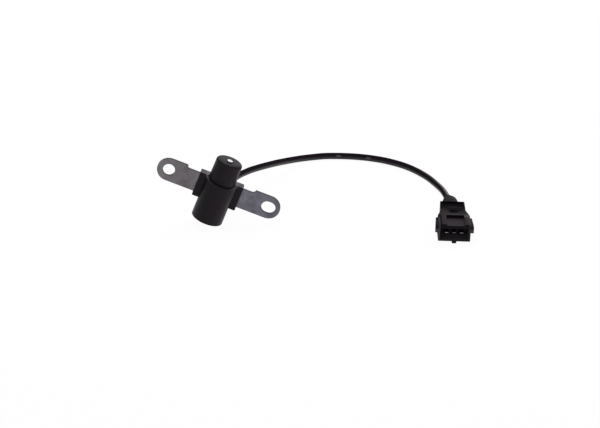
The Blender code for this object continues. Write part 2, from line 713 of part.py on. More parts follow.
def build_contacts(connector, brass, rubber, plastic, wires):
    """Three flat contacts with the lock plate, the seal and the wires behind them."""
    lock_start = CAVITY_START + GAP
    lock_end = lock_start + LOCK_THICKNESS
    blade_end = lock_end
    tail_end = blade_end + CONTACT_TAIL_LENGTH
    half, nose = CONTACT_WIDTH / 2, CONTACT_WIDTH / 2 - CONTACT_TIP / 2
    tail = CONTACT_TAIL_WIDTH / 2
    right = [
        (nose, CONTACT_RECESS),
        (half, CONTACT_RECESS + CONTACT_TIP),
        (half, blade_end),
        (tail, blade_end),
        (tail, tail_end),
    ]
    plan = right + [(-x, y) for x, y in reversed(right)]
    low = CONTACT_HEIGHT - CONTACT_THICKNESS / 2
    high = CONTACT_HEIGHT + CONTACT_THICKNESS / 2

    wall = CAVITY_HALF_WIDTH - GAP
    floor, roof = CAVITY_BOTTOM + GAP, CAVITY_TOP - GAP
    seal_end = SHELL_LENGTH - SEAL_SETBACK
    seal_start = seal_end - SEAL_THICKNESS
    lock = add_object("contact_lock", block((-wall, wall), (lock_start, lock_end), (floor, roof)), connector, plastic)
    seal = add_object("wire_seal", block((-wall, wall), (seal_start, seal_end), (floor, roof)), connector, rubber)

    for i, side in ((-1, "left"), (0, "centre"), (1, "right")):
        place = (i * CONTACT_PITCH, 0, 0)
        add_object(f"contact_{side}", extruded(plan, low, high), connector, brass, place)
        opening = contact_hole(lock_start - CUT_OVER, lock_end + CUT_OVER)
        combine(lock, add_tool(f"lock_cut_{side}", opening, connector, place))
        hole = rod(LEAD_RADIUS + GAP, seal_start - CUT_OVER, seal_end + CUT_OVER, HOLE_STEPS)
        turn = (-math.pi / 2, 0, 0)
        spot = (i * CONTACT_PITCH, 0, CONTACT_HEIGHT)
        combine(seal, add_tool(f"seal_cut_{side}", hole, connector, spot, turn))
        name, material = wires[side]
        x, z = i * CONTACT_PITCH, CONTACT_HEIGHT
        route = [
            (x, tail_end + GAP, z),
            (x, (tail_end + seal_start) / 2, z),
            (x, seal_start, z),
            (x, seal_end + GAP, z),
            (LEAD_GATHER * x, SHELL_LENGTH - GAP, z),
        ]
        tube(name, smooth_path(route, 2 * LEAD_RADIUS), LEAD_RADIUS, material, connector)


def build_boot(connector, material):
    """The rubber boot behind the shell: a domed sleeve that bends towards the cable."""
    start = SHELL_LENGTH + GAP
    bm = bmesh.new()
    rings = []
    for share, size in BOOT_STATIONS:
        centre = Vector((-BOOT_BEND * share * share, start + BOOT_LENGTH * share, BOOT_HEIGHT))
        heading = Vector((-2 * BOOT_BEND * share / BOOT_LENGTH, 1, 0)).normalized()
        across = Vector((heading.y, -heading.x, 0))
        flat = BOOT_FLATTENING + (1 - BOOT_FLATTENING) * share
        ring = []
        for i in range(BOOT_STEPS):
            angle = 2 * math.pi * i / BOOT_STEPS
            offset = across * math.cos(angle) + Vector((0, 0, flat * math.sin(angle)))
            ring.append(bm.verts.new(centre + offset * BOOT_RADIUS * size))
        rings.append(ring)
    edges = []
    for ring in rings:
        edges += [bm.edges.new((ring[i - 1], ring[i])) for i in range(len(ring))]
    bmesh.ops.bridge_loops(bm, edges=edges)
    bm.faces.new(rings[0])
    bm.faces.new(rings[-1])
    return add_object("connector_boot", bm, connector, material)


def main():
    """Builds every piece in its place."""
    clear_scene()
    black = finish("black_moulding", (0.020, 0.019, 0.021), 0.45)
    dark = finish("potting_compound", (0.030, 0.030, 0.032), 0.6)
    steel = finish("dull_steel", (0.15, 0.15, 0.155), 0.5, 0.9)
    bright = finish("bare_steel", (0.62, 0.62, 0.62), 0.3, 1.0)
    ferrite = finish("magnet_grey", (0.20, 0.20, 0.21), 0.4, 1.0)
    natural = finish("bobbin_nylon", (0.62, 0.57, 0.45), 0.5)
    copper = finish("enamelled_copper", (0.60, 0.25, 0.12), 0.35, 1.0)
    film = finish("yellow_film", (0.75, 0.60, 0.15), 0.4)
    rubber = finish("black_rubber", (0.035, 0.034, 0.036), 0.7)
    jacket = finish("cable_jacket", (0.022, 0.021, 0.023), 0.5)
    tin = finish("tinned_brass", (0.70, 0.68, 0.62), 0.35, 1.0)
    seal = finish("seal_silicone", (0.45, 0.14, 0.08), 0.6)
    red = finish("red_insulation", (0.45, 0.03, 0.03), 0.5)
    blue = finish("blue_insulation", (0.03, 0.08, 0.35), 0.5)
    bare = finish("screen_wire", (0.60, 0.60, 0.60), 0.4, 1.0)

    head = frame_empty("head_frame", HEAD_PLACE, (0, HEAD_LEAN, 0))
    outlet = frame_empty("outlet_frame", (0, 0, OUTLET_Z), (-math.pi / 2, 0, -OUTLET_TURN), head)
    build_housing(head, outlet, black)
    build_rear_plug(head, dark)
    build_strap(head, steel)
    build_coil(head, natural, copper, film, bright, ferrite)
    build_head_leads(head, red, blue)
    build_gland(outlet, rubber)

    route = [Vector(point) * MM for point in CABLE_ROUTE]
    tube("sensor_cable", smooth_path(route, CABLE_STEP), CABLE_RADIUS, jacket)

    lift = KEY_HALF_TIP * math.sin(CONNECTOR_ROLL)
    turn = Matrix.Rotation(CONNECTOR_TURN, 3, "Z") @ Matrix.Rotation(CONNECTOR_ROLL, 3, "Y")
    place = (CONNECTOR_X, CONNECTOR_Y, lift)
    connector = frame_empty("connector_frame", place, turn.to_euler())
    build_shell(connector, black)
    wires = {
        "left": ("plug_lead_signal", red),
        "centre": ("plug_lead_return", blue),
        "right": ("plug_lead_screen", bare),
    }
    build_contacts(connector, tin, seal, natural, wires)
    build_boot(connector, rubber)


main()
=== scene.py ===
"""Studio scene of a crankshaft position sensor.

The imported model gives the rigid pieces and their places. This file softens their edges and
dresses them, builds the cable, the gland and the boot as finer meshes, and sets the camera,
the floor and the lamps.
"""
from __future__ import annotations

import json
import logging
import math
from collections.abc import Mapping, Sequence
from dataclasses import dataclass, field
from enum import Enum
from typing import Union

import bmesh
import bpy
from mathutils import Matrix, Vector

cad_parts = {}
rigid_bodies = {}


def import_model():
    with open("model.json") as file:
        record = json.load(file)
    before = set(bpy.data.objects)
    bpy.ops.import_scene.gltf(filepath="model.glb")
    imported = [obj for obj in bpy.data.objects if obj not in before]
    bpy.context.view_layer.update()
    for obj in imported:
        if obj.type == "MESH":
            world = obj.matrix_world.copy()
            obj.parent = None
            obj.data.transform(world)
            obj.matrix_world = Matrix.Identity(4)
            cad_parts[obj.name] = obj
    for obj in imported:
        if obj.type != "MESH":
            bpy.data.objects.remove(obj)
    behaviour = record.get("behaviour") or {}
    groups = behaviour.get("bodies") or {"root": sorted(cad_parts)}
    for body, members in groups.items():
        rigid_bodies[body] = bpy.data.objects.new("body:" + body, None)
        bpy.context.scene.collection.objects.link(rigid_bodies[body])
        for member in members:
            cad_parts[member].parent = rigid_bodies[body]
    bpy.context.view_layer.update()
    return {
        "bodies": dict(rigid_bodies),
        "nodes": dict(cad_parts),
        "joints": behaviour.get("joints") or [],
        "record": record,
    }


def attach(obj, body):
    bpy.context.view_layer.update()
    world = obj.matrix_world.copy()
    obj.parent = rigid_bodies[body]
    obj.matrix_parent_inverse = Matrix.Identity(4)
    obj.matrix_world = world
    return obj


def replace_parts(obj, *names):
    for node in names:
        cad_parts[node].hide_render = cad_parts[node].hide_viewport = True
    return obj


LOG = logging.getLogger("sensor_scene")
MM = 0.001
BODY = "root"
LEAN = math.radians(20.6)
# How squarely a face is turned to a direction when it starts to count, and when it counts fully.
SQUARE_ON = (0.70, 0.95)
# The rays that look at the background: straight, mirrored or through glass.
RAYS = ("Is Camera Ray", "Is Glossy Ray", "Is Transmission Ray")

Colour = tuple[float, float, float]
# Where a mask's soft edge starts and ends, in millimetres.
Edge = tuple[float, float]
# Where a mask's soft band starts, is full, starts to fade and ends, in millimetres.
Band = tuple[float, float, float, float]
Operand = Union["Signal", float]
Sockets = dict[Union[str, int], object]
WHITE: Colour = (1.0, 1.0, 1.0)


class Place(Enum):
    """Coordinates that a pattern can follow."""

    SOLID = "Object"
    SURFACE = "UV"
    FACING = "Normal"


class Signal:
    """A node's output, with arithmetic that adds the nodes it needs."""

    def __init__(self, graph: Graph, socket: bpy.types.NodeSocket) -> None:
        """Keeps the output and the graph that it belongs to."""
        self.graph = graph
        self.socket = socket

    def _math(self, operation: str, first: Operand, second: Operand = 0.0) -> Signal:
        """Adds one Math node.

        Args:
            operation: The Math node's operation.
            first: Its first value.
            second: Its second value.

        Returns:
            The node's output.
        """
        return self.graph.node("ShaderNodeMath", {"operation": operation}, {0: first, 1: second})

    def __add__(self, other: Operand) -> Signal:
        """Adds another value."""
        return self._math("ADD", self, other)

    def __radd__(self, other: Operand) -> Signal:
        """Adds this to a plain number."""
        return self._math("ADD", other, self)

    def __sub__(self, other: Operand) -> Signal:
        """Takes another value away."""
        return self._math("SUBTRACT", self, other)

    def __rsub__(self, other: Operand) -> Signal:
        """Takes this away from a plain number."""
        return self._math("SUBTRACT", other, self)

    def __mul__(self, other: Operand) -> Signal:
        """Multiplies by another value."""
        return self._math("MULTIPLY", self, other)

    def __rmul__(self, other: Operand) -> Signal:
        """Multiplies a plain number by this."""
        return self._math("MULTIPLY", other, self)

    def __truediv__(self, other: Operand) -> Signal:
        """Divides by another value."""
        return self._math("DIVIDE", self, other)

    def __rtruediv__(self, other: Operand) -> Signal:
        """Divides a plain number by this."""
        return self._math("DIVIDE", other, self)

    def __pow__(self, other: Operand) -> Signal:
        """Raises to a power."""
        return self._math("POWER", self, other)

    def __rpow__(self, other: Operand) -> Signal:
        """Raises a plain number to this power."""
        return self._math("POWER", other, self)

    def __abs__(self) -> Signal:
        """Drops the sign."""
        return self._math("ABSOLUTE", self)

    def larger(self, other: Operand) -> Signal:
        """Takes the larger of two values."""
        return self._math("MAXIMUM", self, other)

    def wave(self, pitch: float) -> Signal:
        """Turns a distance into a wave from 0 to 1 that repeats at a pitch."""
        return 0.5 + 0.5 * self._math("SINE", self * (2 * math.pi / pitch))

    def step(self, low: float, high: float) -> Signal:
        """Goes smoothly from 0 to 1 between two values, in either direction.

        Args:
            low: The value at which it leaves 0.
            high: The value at which it reaches 1.

        Returns:
            The smooth step.
        """
        ramp = {"interpolation_type": "SMOOTHSTEP"}
        return self.graph.node("ShaderNodeMapRange", ramp, {"Value": self, 1: low, 2: high})

    def rise(self, edge: Edge) -> Signal:
        """Rises from 0 to 1 over an edge that is given in millimetres."""
        return self.step(edge[0] * MM, edge[1] * MM)

    def fall(self, edge: Edge) -> Signal:
        """Falls from 1 to 0 over an edge that is given in millimetres."""
        return self.step(edge[1] * MM, edge[0] * MM)

    def within(self, band: Band) -> Signal:
        """Rises over a band's first two values and falls over its last two, in millimetres."""
        return self.rise(band[:2]) * self.fall(band[2:])


class Graph:
    """A node tree that is written with plain expressions."""

    def __init__(self, tree: bpy.types.NodeTree) -> None:
        """Empties the tree and keeps it."""
        self.tree = tree
        tree.nodes.clear()

    def node(
        self,
        kind: str,
        settings: Mapping[str, object] | None = None,
        sockets: Sockets | None = None,
        output: str | int = 0,
    ) -> Signal:
        """Adds one node of any type.

        Args:
            kind: The node's type.
            settings: Its properties, set before its sockets.
            sockets: Values or signals by socket name or index.
            output: Which output to hand back.

        Returns:
            The chosen output, or the last node's empty one where it has none.
        """
        made = self.tree.nodes.new(kind)
        for name, value in (settings or {}).items():
            setattr(made, name, value)
        for name, value in (sockets or {}).items():
            socket = made.inputs[name]
            if isinstance(value, Signal):
                self.tree.links.new(value.socket, socket)
            elif isinstance(value, tuple) and socket.type == "RGBA":
                socket.default_value = (*value, 1.0)
            else:
                socket.default_value = value
        return Signal(self, made.outputs[output] if len(made.outputs) else None)

    def place(self, place: Place = Place.SOLID) -> Signal:
        """Reads one kind of coordinates."""
        return self.node("ShaderNodeTexCoord", output=place.value)

    def along(self, place: Signal, direction: Vector) -> Signal:
        """Measures how far a point lies along a direction.

        Args:
            place: The point's coordinates.
            direction: A unit vector.

        Returns:
            The distance in metres.
        """
        kind = {"operation": "DOT_PRODUCT"}
        return self.node("ShaderNodeVectorMath", kind, {0: place, 1: tuple(direction)}, "Value")

    def facing(self, direction: Vector) -> Signal:
        """How squarely the surface faces a direction, from -1 to 1."""
        return self.along(self.place(Place.FACING), direction)

    def measured(self, frame: Matrix) -> list[Signal]:
        """Measures how far a point lies right, back and up in a frame.

        Args:
            frame: The frame, which only turns and moves.

        Returns:
            The three distances, in metres.
        """
        place = self.place()
        axes = [frame.col[i].xyz for i in range(3)]
        return [self.along(place, axis) - axis.dot(frame.translation) for axis in axes]

    def point(self, x: Operand, y: Operand, z: Operand) -> Signal:
        """Joins three values into one point."""
        return self.node("ShaderNodeCombineXYZ", None, {0: x, 1: y, 2: z})

    def noise(self, place: Signal, size: float, detail: float = 2.0) -> Signal:
        """Soft noise from 0 to 1.

        Args:
            place: Coordinates in metres.
            size: The width of one blotch, in metres.
            detail: How many finer layers it has.

        Returns:
            The noise.
        """
        sockets = {"Vector": place, "Scale": 1 / size, "Detail": detail}
        return self.node("ShaderNodeTexNoise", None, sockets)

    def flecks(self, place: Signal, size: float) -> Signal:
        """Distance to the nearest of many scattered points, in cells."""
        return self.node("ShaderNodeTexVoronoi", None, {"Vector": place, "Scale": 1 / size})

    def tint(self, colour: Colour | Signal, tone: Operand) -> Signal:
        """Makes a colour lighter or darker by a factor."""
        kind = {"operation": "SCALE"}
        return self.node("ShaderNodeVectorMath", kind, {0: colour, "Scale": tone})

    def blend(self, share: Operand, first: object, second: object) -> Signal:
        """Lays one colour over another.

        Args:
            share: How much of the second colour shows.
            first: The lower colour.
            second: The upper colour.

        Returns:
            The mixed colour.
        """
        colours = {0: share, 6: first, 7: second}
        return self.node("ShaderNodeMix", {"data_type": "RGBA"}, colours, 2)

    def rounded(self, radius: float) -> Signal:
        """A normal that turns softly over sharp edges."""
        return self.node("ShaderNodeBevel", {"samples": 4}, {"Radius": radius})

    def edges(self, radius: float) -> Signal:
        """Finds the sharp edges.

        Args:
            radius: How far from an edge it looks, in metres.

        Returns:
            A mask that is 1 on sharp edges and 0 on flat faces.
        """
        faint, full = 0.02, 0.25
        facing = self.node("ShaderNodeNewGeometry", output="Normal")
        kind = {"operation": "DOT_PRODUCT"}
        normals = {0: self.rounded(radius), 1: facing}
        same = self.node("ShaderNodeVectorMath", kind, normals, "Value")
        return (1 - same).step(faint, full)

    def leaned(self, normal: Signal, direction: Vector, share: Operand) -> Signal:
        """Leans a normal over.

        Args:
            normal: The normal it starts from.
            direction: A unit vector to lean towards.
            share: How far, as the slope of the lean.

        Returns:
            The leaned normal.
        """
        added = {0: normal, 1: self.tint(tuple(direction), share)}
        leaned = self.node("ShaderNodeVectorMath", {"operation": "ADD"}, added)
        return self.node("ShaderNodeVectorMath", {"operation": "NORMALIZE"}, {0: leaned})

    def bump(self, height: Signal, depth: float, normal: Signal | None = None) -> Signal:
        """Roughens the surface.

        Args:
            height: A pattern from 0 to 1.
            depth: How deep it is, in metres.
            normal: The normal it starts from.

        Returns:
            The bumped normal.
        """
        sockets: Sockets = {"Height": height, "Distance": depth}
        if normal is not None:
            sockets["Normal"] = normal
        return self.node("ShaderNodeBump", None, sockets)


@dataclass(frozen=True)
class Finish:
    """What every surface finish shares.

    Attributes:
        slot: The finish's name, which a new piece also takes as its slot.
        colour: Its plain colour.
        roughness: Its mean roughness.
        metallic: 1 for bare metal.
        specular: The strength of its plain reflection.
        frame: The frame that its marks keep their place in.
    """

    slot: str
    colour: Colour
    roughness: float
    metallic: float = 0.0
    specular: float = 0.5
    frame: Matrix = field(default_factory=Matrix)

    @property
    def axes(self) -> tuple[Vector, ...]:
        """The frame's directions to the right, back and up."""
        return tuple(self.frame.col[i].xyz for i in range(3))

    def material(self) -> bpy.types.Material:
        """Makes the material, once for each slot.

        Returns:
            The material.
        """
        known = bpy.data.materials.get(f"{self.slot}_finish")
        if known is not None:
            return known
        made = bpy.data.materials.new(f"{self.slot}_finish")
        made.use_nodes = True
        graph = Graph(made.node_tree)
        sockets: Sockets = {
            "Roughness": self.roughness,
            "Metallic": self.metallic,
            "Specular IOR Level": self.specular,
        }
        sockets.update(self.surface(graph))
        shader = graph.node("ShaderNodeBsdfPrincipled", None, sockets)
        graph.node("ShaderNodeOutputMaterial", None, {"Surface": shader})
        return made

    def surface(self, graph: Graph) -> Sockets:
        """The sockets that vary over the surface."""
        return {"Base Color": self.colour}


@dataclass(frozen=True)
class Moulding(Finish):
    """Moulded plastic with a fine grain, flow blotches and slightly polished edges.

    Attributes:
        grain: The grain's width, in metres.
        depth: The grain's depth.
        blotch: The flow blotches' width.
        edge: The radius of its softened edges.
    """

    grain: float = 0.35 * MM
    depth: float = 0.012 * MM
    blotch: float = 4.0 * MM
    edge: float = 0.18 * MM

    def surface(self, graph: Graph) -> Sockets:
        """Gives the moulding's colour, roughness and grain.

        Args:
            graph: The material's node tree.

        Returns:
            The sockets that vary.
        """
        place = graph.place()
        flow = graph.noise(place, self.blotch)
        dust_and_sheen = graph.noise(place, self.grain * 4, 4.0).step(0.62, 0.78)
        wear_and_side_light = graph.edges(self.edge)
        tone = 0.82 + 0.36 * flow + 0.35 * wear_and_side_light + 0.25 * dust_and_sheen
        grain = graph.noise(place, self.grain, 3.0)
        return {
            "Base Color": graph.tint(self.colour, tone),
            "Roughness": self.roughness - 0.06 + 0.12 * flow + 0.08 * dust_and_sheen - 0.08 * wear_and_side_light,
            "Normal": graph.bump(grain, self.depth, self.normal(graph)),
        }

    def normal(self, graph: Graph) -> Signal:
        """The normal under the grain, turned softly over the edges."""
        return graph.rounded(self.edge)


@dataclass(frozen=True)
class HeadMoulding(Moulding):
    """The head's moulding, with painted light and painted shade, and its normal domed on the tip's
    face.

    Edges and bands are in millimetres in the head's frame. A level is a height, a width and a
    radius are measured out from the axis, and a depth backwards.

    Attributes:
        painted_highlight: A pale tone painted on the pads' tops and down the right side, as
            painted highlights.
        bright: A paler tone painted where a pad meets the barrel's shoulder, as painted
            light on that ledge.
        shade: The tone of the tip's foot, on its left.
        dome_slope: How fast the tip's face falls away, for each metre out.
        rim_slope: How much more it falls away at its rim.
    """

    painted_highlight: Colour = (0.060, 0.055, 0.060)
    bright: Colour = (0.115, 0.105, 0.115)
    shade: Colour = (0.002, 0.0015, 0.002)
    pad_level: Band = (27.0, 28.0, 31.5, 33.0)
    pad_width: Edge = (6.0, 8.5)
    pad_depth: Edge = (-4.0, 0.0)
    corner_level: Band = (28.8, 29.4, 31.5, 33.0)
    corner_width: Band = (9.55, 9.75, 11.2, 11.8)
    corner_depth: Edge = (-3.0, -0.6)
    side_level: Band = (12.0, 17.0, 29.0, 29.8)
    side_width: Edge = (11.2, 11.6)
    foot_level: Band = (29.6, 30.0, 31.0, 34.0)
    foot_radius: Edge = (9.8, 10.2)
    face_level: Edge = (44.3, 44.7)
    rim_radius: Edge = (5.0, 9.5)
    dome_slope: float = 30.0
    rim_slope: float = 1.2

    def surface(self, graph: Graph) -> Sockets:
        """Blends the head's painted light and painted shade into the moulding.

        Args:
            graph: The material's node tree.

        Returns:
            The sockets that vary.
        """
        sockets = super().surface(graph)
        right, back, up = graph.measured(self.frame)
        across = abs(right)
        rightwards, _, upwards = self.axes
        # How squarely a face turns to the right, the side where the painted light falls.
        hand = graph.facing(rightwards)
        wear_and_side_light = hand.larger(0.0)
        pads = graph.facing(upwards).step(*SQUARE_ON) * up.within(self.pad_level)
        pads = pads * across.rise(self.pad_width) * back.rise(self.pad_depth)
        corner = up.within(self.corner_level) * across.within(self.corner_width)
        corner = corner * back.rise(self.corner_depth)
        side = hand.step(0.72, 0.94) * up.within(self.side_level) * right.fall(self.side_width)
        near, far = ((radius * MM) ** 2 for radius in self.foot_radius)
        foot = up.within(self.foot_level) * hand.step(0.5, -0.5)
        foot = foot * (right * right + back * back).step(far, near)
        # Painted light: paler towards the right and darker towards the left, painted highlights on
        # the pads' tops, the right side and the corners, and painted shade at the tip's foot on
        # its left.
        tones = graph.tint(sockets["Base Color"], 1.12 + 0.62 * hand + 0.35 * wear_and_side_light * wear_and_side_light)
        for share, colour in (
            (pads.larger(0.85 * side), self.painted_highlight),
            (corner, self.bright),
            (0.85 * foot, self.shade),
        ):
            tones = graph.blend(share, tones, colour)
        sockets["Base Color"] = tones
        return sockets

    def normal(self, graph: Graph) -> Signal:
        """Makes the soft normal, falling away to the front of the tip's face.

        Args:
            graph: The material's node tree.

        Returns:
            The normal under the grain.
        """
        right, back, up = graph.measured(self.frame)
        above_zero = 0.01 * MM * MM
        radius = (right * right + back * back + above_zero) ** 0.5
        slope = self.dome_slope * radius + self.rim_slope * radius.rise(self.rim_radius)
        front = (0.0 - back / radius).larger(0.0)
        lean = slope * front * up.rise(self.face_level)
        return graph.leaned(super().normal(graph), -self.axes[1], lean)


@dataclass(frozen=True)
class PlugMoulding(Moulding):
    """The plug's moulding, with painted light in its mouth and on its walls, and painted shade on
    its brow, ribs and roof.

    Edges and bands are in millimetres in the plug's frame. A level is a height, a width is
    measured out from the middle, a side to the right and a depth back from the mouth.

    Attributes:
        inside: A paler tone painted in the mouth and in the rear pocket, as painted light in
            their shade.
        depths: A still paler tone painted deep in the mouth, as painted light.
        painted_highlight: The painted highlights on the walls and the ribs' fronts, and the
            painted glint on the roof.
        shade: The painted shade on the brow, on the ribs and on the roof's tail, flare and groove.
        flare_middle: The middle of the painted shade on the flare, in metres to the right.
        shade_lean: How far the normal leans to the front where shade is painted on the roof.
    """

    inside: Colour = (0.042, 0.036, 0.042)
    depths: Colour = (0.085, 0.073, 0.085)
    painted_highlight: Colour = (0.055, 0.049, 0.055)
    shade: Colour = (0.002, 0.0015, 0.002)
    rib_width: Edge = (10.6, 10.85)
    rib_level: Edge = (9.8, 11.5)
    rib_depth: Edge = (6.0, 9.0)
    wall_width: Edge = (9.6, 9.9)
    wall_side: Edge = (0.0, 5.0)
    wall_depth: Edge = (15.6, 16.4)
    mouth_width: Edge = (9.75, 10.0)
    mouth_level: Band = (2.6, 2.85, 10.85, 11.1)
    mouth_depth: Edge = (13.6, 14.2)
    inner_depth: Edge = (3.0, 10.0)
    brow_level: Edge = (10.85, 11.1)
    roof_level: Edge = (12.6, 13.2)
    glint_side: Edge = (6.8, 7.4)
    glint_depth: Band = (12.5, 14.5, 16.2, 17.6)
    pocket_width: Edge = (7.4, 7.7)
    pocket_level: Band = (9.0, 9.6, 12.6, 13.2)
    pocket_depth: Edge = (29.2, 29.6)
    flare_middle: float = 1.5 * MM
    flare_width: Edge = (3.5, 7.5)
    flare_depth: Edge = (16.5, 26.5)
    tail_depth: Edge = (26.0, 28.0)
    groove_left: Edge = (-10.0, -9.4)
    groove_right: Edge = (-8.7, -8.2)
    groove_start: Edge = (11.0, 13.0)
    groove_end: Edge = (16.2, 17.0)
    shade_lean: float = 0.7

    def surface(self, graph: Graph) -> Sockets:
        """Blends the plug's painted light and painted shade into the moulding.

        Args:
            graph: The material's node tree.

        Returns:
            The sockets that vary.
        """
        sockets = super().surface(graph)
        right, back, up = graph.measured(self.frame)
        across = abs(right)
        _, backwards, upwards = self.axes
        front = graph.facing(-backwards).step(*SQUARE_ON)
        top = graph.facing(upwards).step(*SQUARE_ON)
        rib = across.rise(self.rib_width)
        wall = across.rise(self.wall_width) * (1 - rib) * back.fall(self.wall_depth)
        lit_wall = wall * (0.35 + 0.65 * front) * (1 - 0.75 * front * right.rise(self.wall_side))
        mouth = across.fall(self.mouth_width) * back.fall(self.mouth_depth)
        mouth = mouth * up.within(self.mouth_level)
        glint = up.rise(self.roof_level) * right.rise(self.glint_side) * (1 - rib)
        glint = glint * back.within(self.glint_depth)
        pocket = back.rise(self.pocket_depth) * up.within(self.pocket_level)
        pocket = pocket * across.fall(self.pocket_width)
        brow = 0.6 * front * up.rise(self.brow_level) * (1 - wall)
        # Painted light in the mouth, the pocket and the depths, painted highlights on the walls,
        # the ribs' fronts and the roof's glint, and painted shade on the brow, the ribs and the
        # roof.
        tones = sockets["Base Color"]
        for share, colour in (
            (mouth.larger(pocket), self.inside),
            (mouth * back.rise(self.inner_depth), self.depths),
            (lit_wall, self.painted_highlight),
            (brow, self.shade),
            (rib * front * up.fall(self.rib_level), self.painted_highlight),
            (rib * top.larger(back.rise(self.rib_depth)), self.shade),
            (glint, self.painted_highlight),
            (self.painted_shade(graph), self.shade),
        ):
            tones = graph.blend(share, tones, colour)
        sockets["Base Color"] = tones
        return sockets

    def painted_shade(self, graph: Graph) -> Signal:
        """Finds where shade is painted on the roof: its tail, its flare and the groove on its
        left.

        Args:
            graph: The material's node tree.

        Returns:
            A mask for them.
        """
        right, back, up = graph.measured(self.frame)
        middle = abs(right - self.flare_middle).fall(self.flare_width)
        flare = back.rise(self.flare_depth) * (0.45 + 0.45 * middle)
        tail = back.rise(self.tail_depth)
        groove = right.rise(self.groove_left).larger(back.rise(self.groove_start))
        groove = groove * right.fall(self.groove_right) * back.fall(self.groove_end)
        return up.rise(self.roof_level) * tail.larger(flare).larger(0.7 * groove)

    def normal(self, graph: Graph) -> Signal:
        """The soft normal, leaned to the front where shade is painted on the roof."""
        lean = self.shade_lean * self.painted_shade(graph)
        return graph.leaned(super().normal(graph), -self.axes[1], lean)


@dataclass(frozen=True)
class StampedSteel(Finish):
    """Dull coated sheet steel: rolling lines along it, blotches, flecks and dark cut edges.

    Edges are in millimetres in the head's frame. A side is measured to the right, a width out
    from the middle and a depth backwards. The other sizes are in metres.

    Attributes:
        cool: The bluish tone of the strap's right side.
        rolling: The rolling lines' width.
        blotch: The blotches' width.
        cloud: The width of wider, paler clouds.
        fleck: How far the flecks lie apart.
        scratch: The width of the scratches beside the barrel.
        depth: The relief's depth.
    """

    cool: Colour = (0.170, 0.168, 0.205)
    rolling: float = 0.5 * MM
    blotch: float = 3.2 * MM
    cloud: float = 9.0 * MM
    fleck: float = 1.1 * MM
    scratch: float = 0.7 * MM
    depth: float = 0.010 * MM
    left_ear: Edge = (-30.0, -22.0)
    right_ear: Edge = (34.0, 42.0)
    cool_side: Edge = (12.0, 16.0)
    middle_width: Edge = (17.0, 23.0)
    middle_depth: Edge = (1.8, 2.6)

    def surface(self, graph: Graph) -> Sockets:
        """Gives the sheet's colour, roughness and relief.

        Args:
            graph: The material's node tree.

        Returns:
            The sockets that vary.
        """
        place = graph.place()
        right, back, up = graph.measured(self.frame)
        _, backwards, upwards = self.axes
        lines = graph.noise(graph.point(right * 0.05, back, up), self.rolling, 3.0)
        blotch = graph.noise(place, self.blotch, 4.0).step(0.30, 0.70)
        cloud = graph.noise(place, self.cloud, 2.0).step(0.35, 0.65)
        fleck = 1 - graph.flecks(place, self.fleck).step(0.10, 0.24)
        scratch = graph.noise(graph.point(right, 0.0, up * 0.06), self.scratch, 2.0)
        flat = abs(graph.facing(backwards)).step(0.75, 0.97)
        cut_top = graph.facing(upwards).step(0.15, 0.60)
        middle = abs(right).fall(self.middle_width) * back.fall(self.middle_depth)
        ears = 0.14 * right.fall(self.left_ear) - 0.12 * right.rise(self.right_ear)
        tone = 0.58 + 0.22 * blotch + 0.16 * cloud + 0.16 * lines + 0.10 * fleck + ears
        tone = tone + middle * (0.04 + 0.26 * scratch.step(0.45, 0.70))
        tone = tone * (0.70 + 0.30 * flat) * (1 - 0.45 * cut_top)
        bluish = right.rise(self.cool_side) * (0.8 + 0.2 * blotch)
        return {
            "Base Color": graph.tint(graph.blend(bluish, self.colour, self.cool), tone),
            "Metallic": self.metallic * flat,
            "Roughness": self.roughness + 0.10 * (blotch - 0.5) + 0.14 * (1 - flat),
            "Normal": graph.bump(lines + 0.5 * blotch, self.depth),
        }


@dataclass(frozen=True)
class BrightMetal(Finish):
    """Plain turned or plated metal with fine scratches.

    Attributes:
        scratch: The scratches' width, in metres.
        depth: Their depth.
        tarnish: The tarnished spots' width.
        edge: The radius of its softened edges.
    """

    scratch: float = 0.25 * MM
    depth: float = 0.004 * MM
    tarnish: float = 1.6 * MM
    edge: float = 0.1 * MM

    def surface(self, graph: Graph) -> Sockets:
        """Gives the metal's colour, roughness and scratches.

        Args:
            graph: The material's node tree.

        Returns:
            The sockets that vary.
        """
        place = graph.place()
        tarnish = graph.noise(place, self.tarnish, 3.0)
        scratch = graph.noise(place, self.scratch, 4.0)
        return {
            "Base Color": graph.tint(self.colour, 0.90 + 0.20 * tarnish),
            "Roughness": self.roughness - 0.05 + 0.12 * scratch,
            "Normal": graph.bump(scratch, self.depth, graph.rounded(self.edge)),
        }


@dataclass(frozen=True)
class TurnedPin(BrightMetal):
    """A turned pin, bright in the middle of its end, with painted shade towards its rim.

    Attributes:
        rim: Where its painted shade starts, in millimetres out from the axis.
        rim_shade: The colour of the painted shade at its rim.
    """

    rim: Edge = (1.75, 2.0)
    rim_shade: Colour = (0.10, 0.095, 0.10)

    def surface(self, graph: Graph) -> Sockets:
        """Paints shade on the metal round its rim.

        Args:
            graph: The material's node tree.

        Returns:
            The sockets that vary.
        """
        sockets = super().surface(graph)
        right, back, _ = graph.measured(self.frame)
        # Painted shade on the pin's rim, where its side falls into shade.
        shaded_rim = ((right * right + back * back) ** 0.5).rise(self.rim)
        sockets["Base Color"] = graph.blend(shaded_rim, sockets["Base Color"], self.rim_shade)
        return sockets


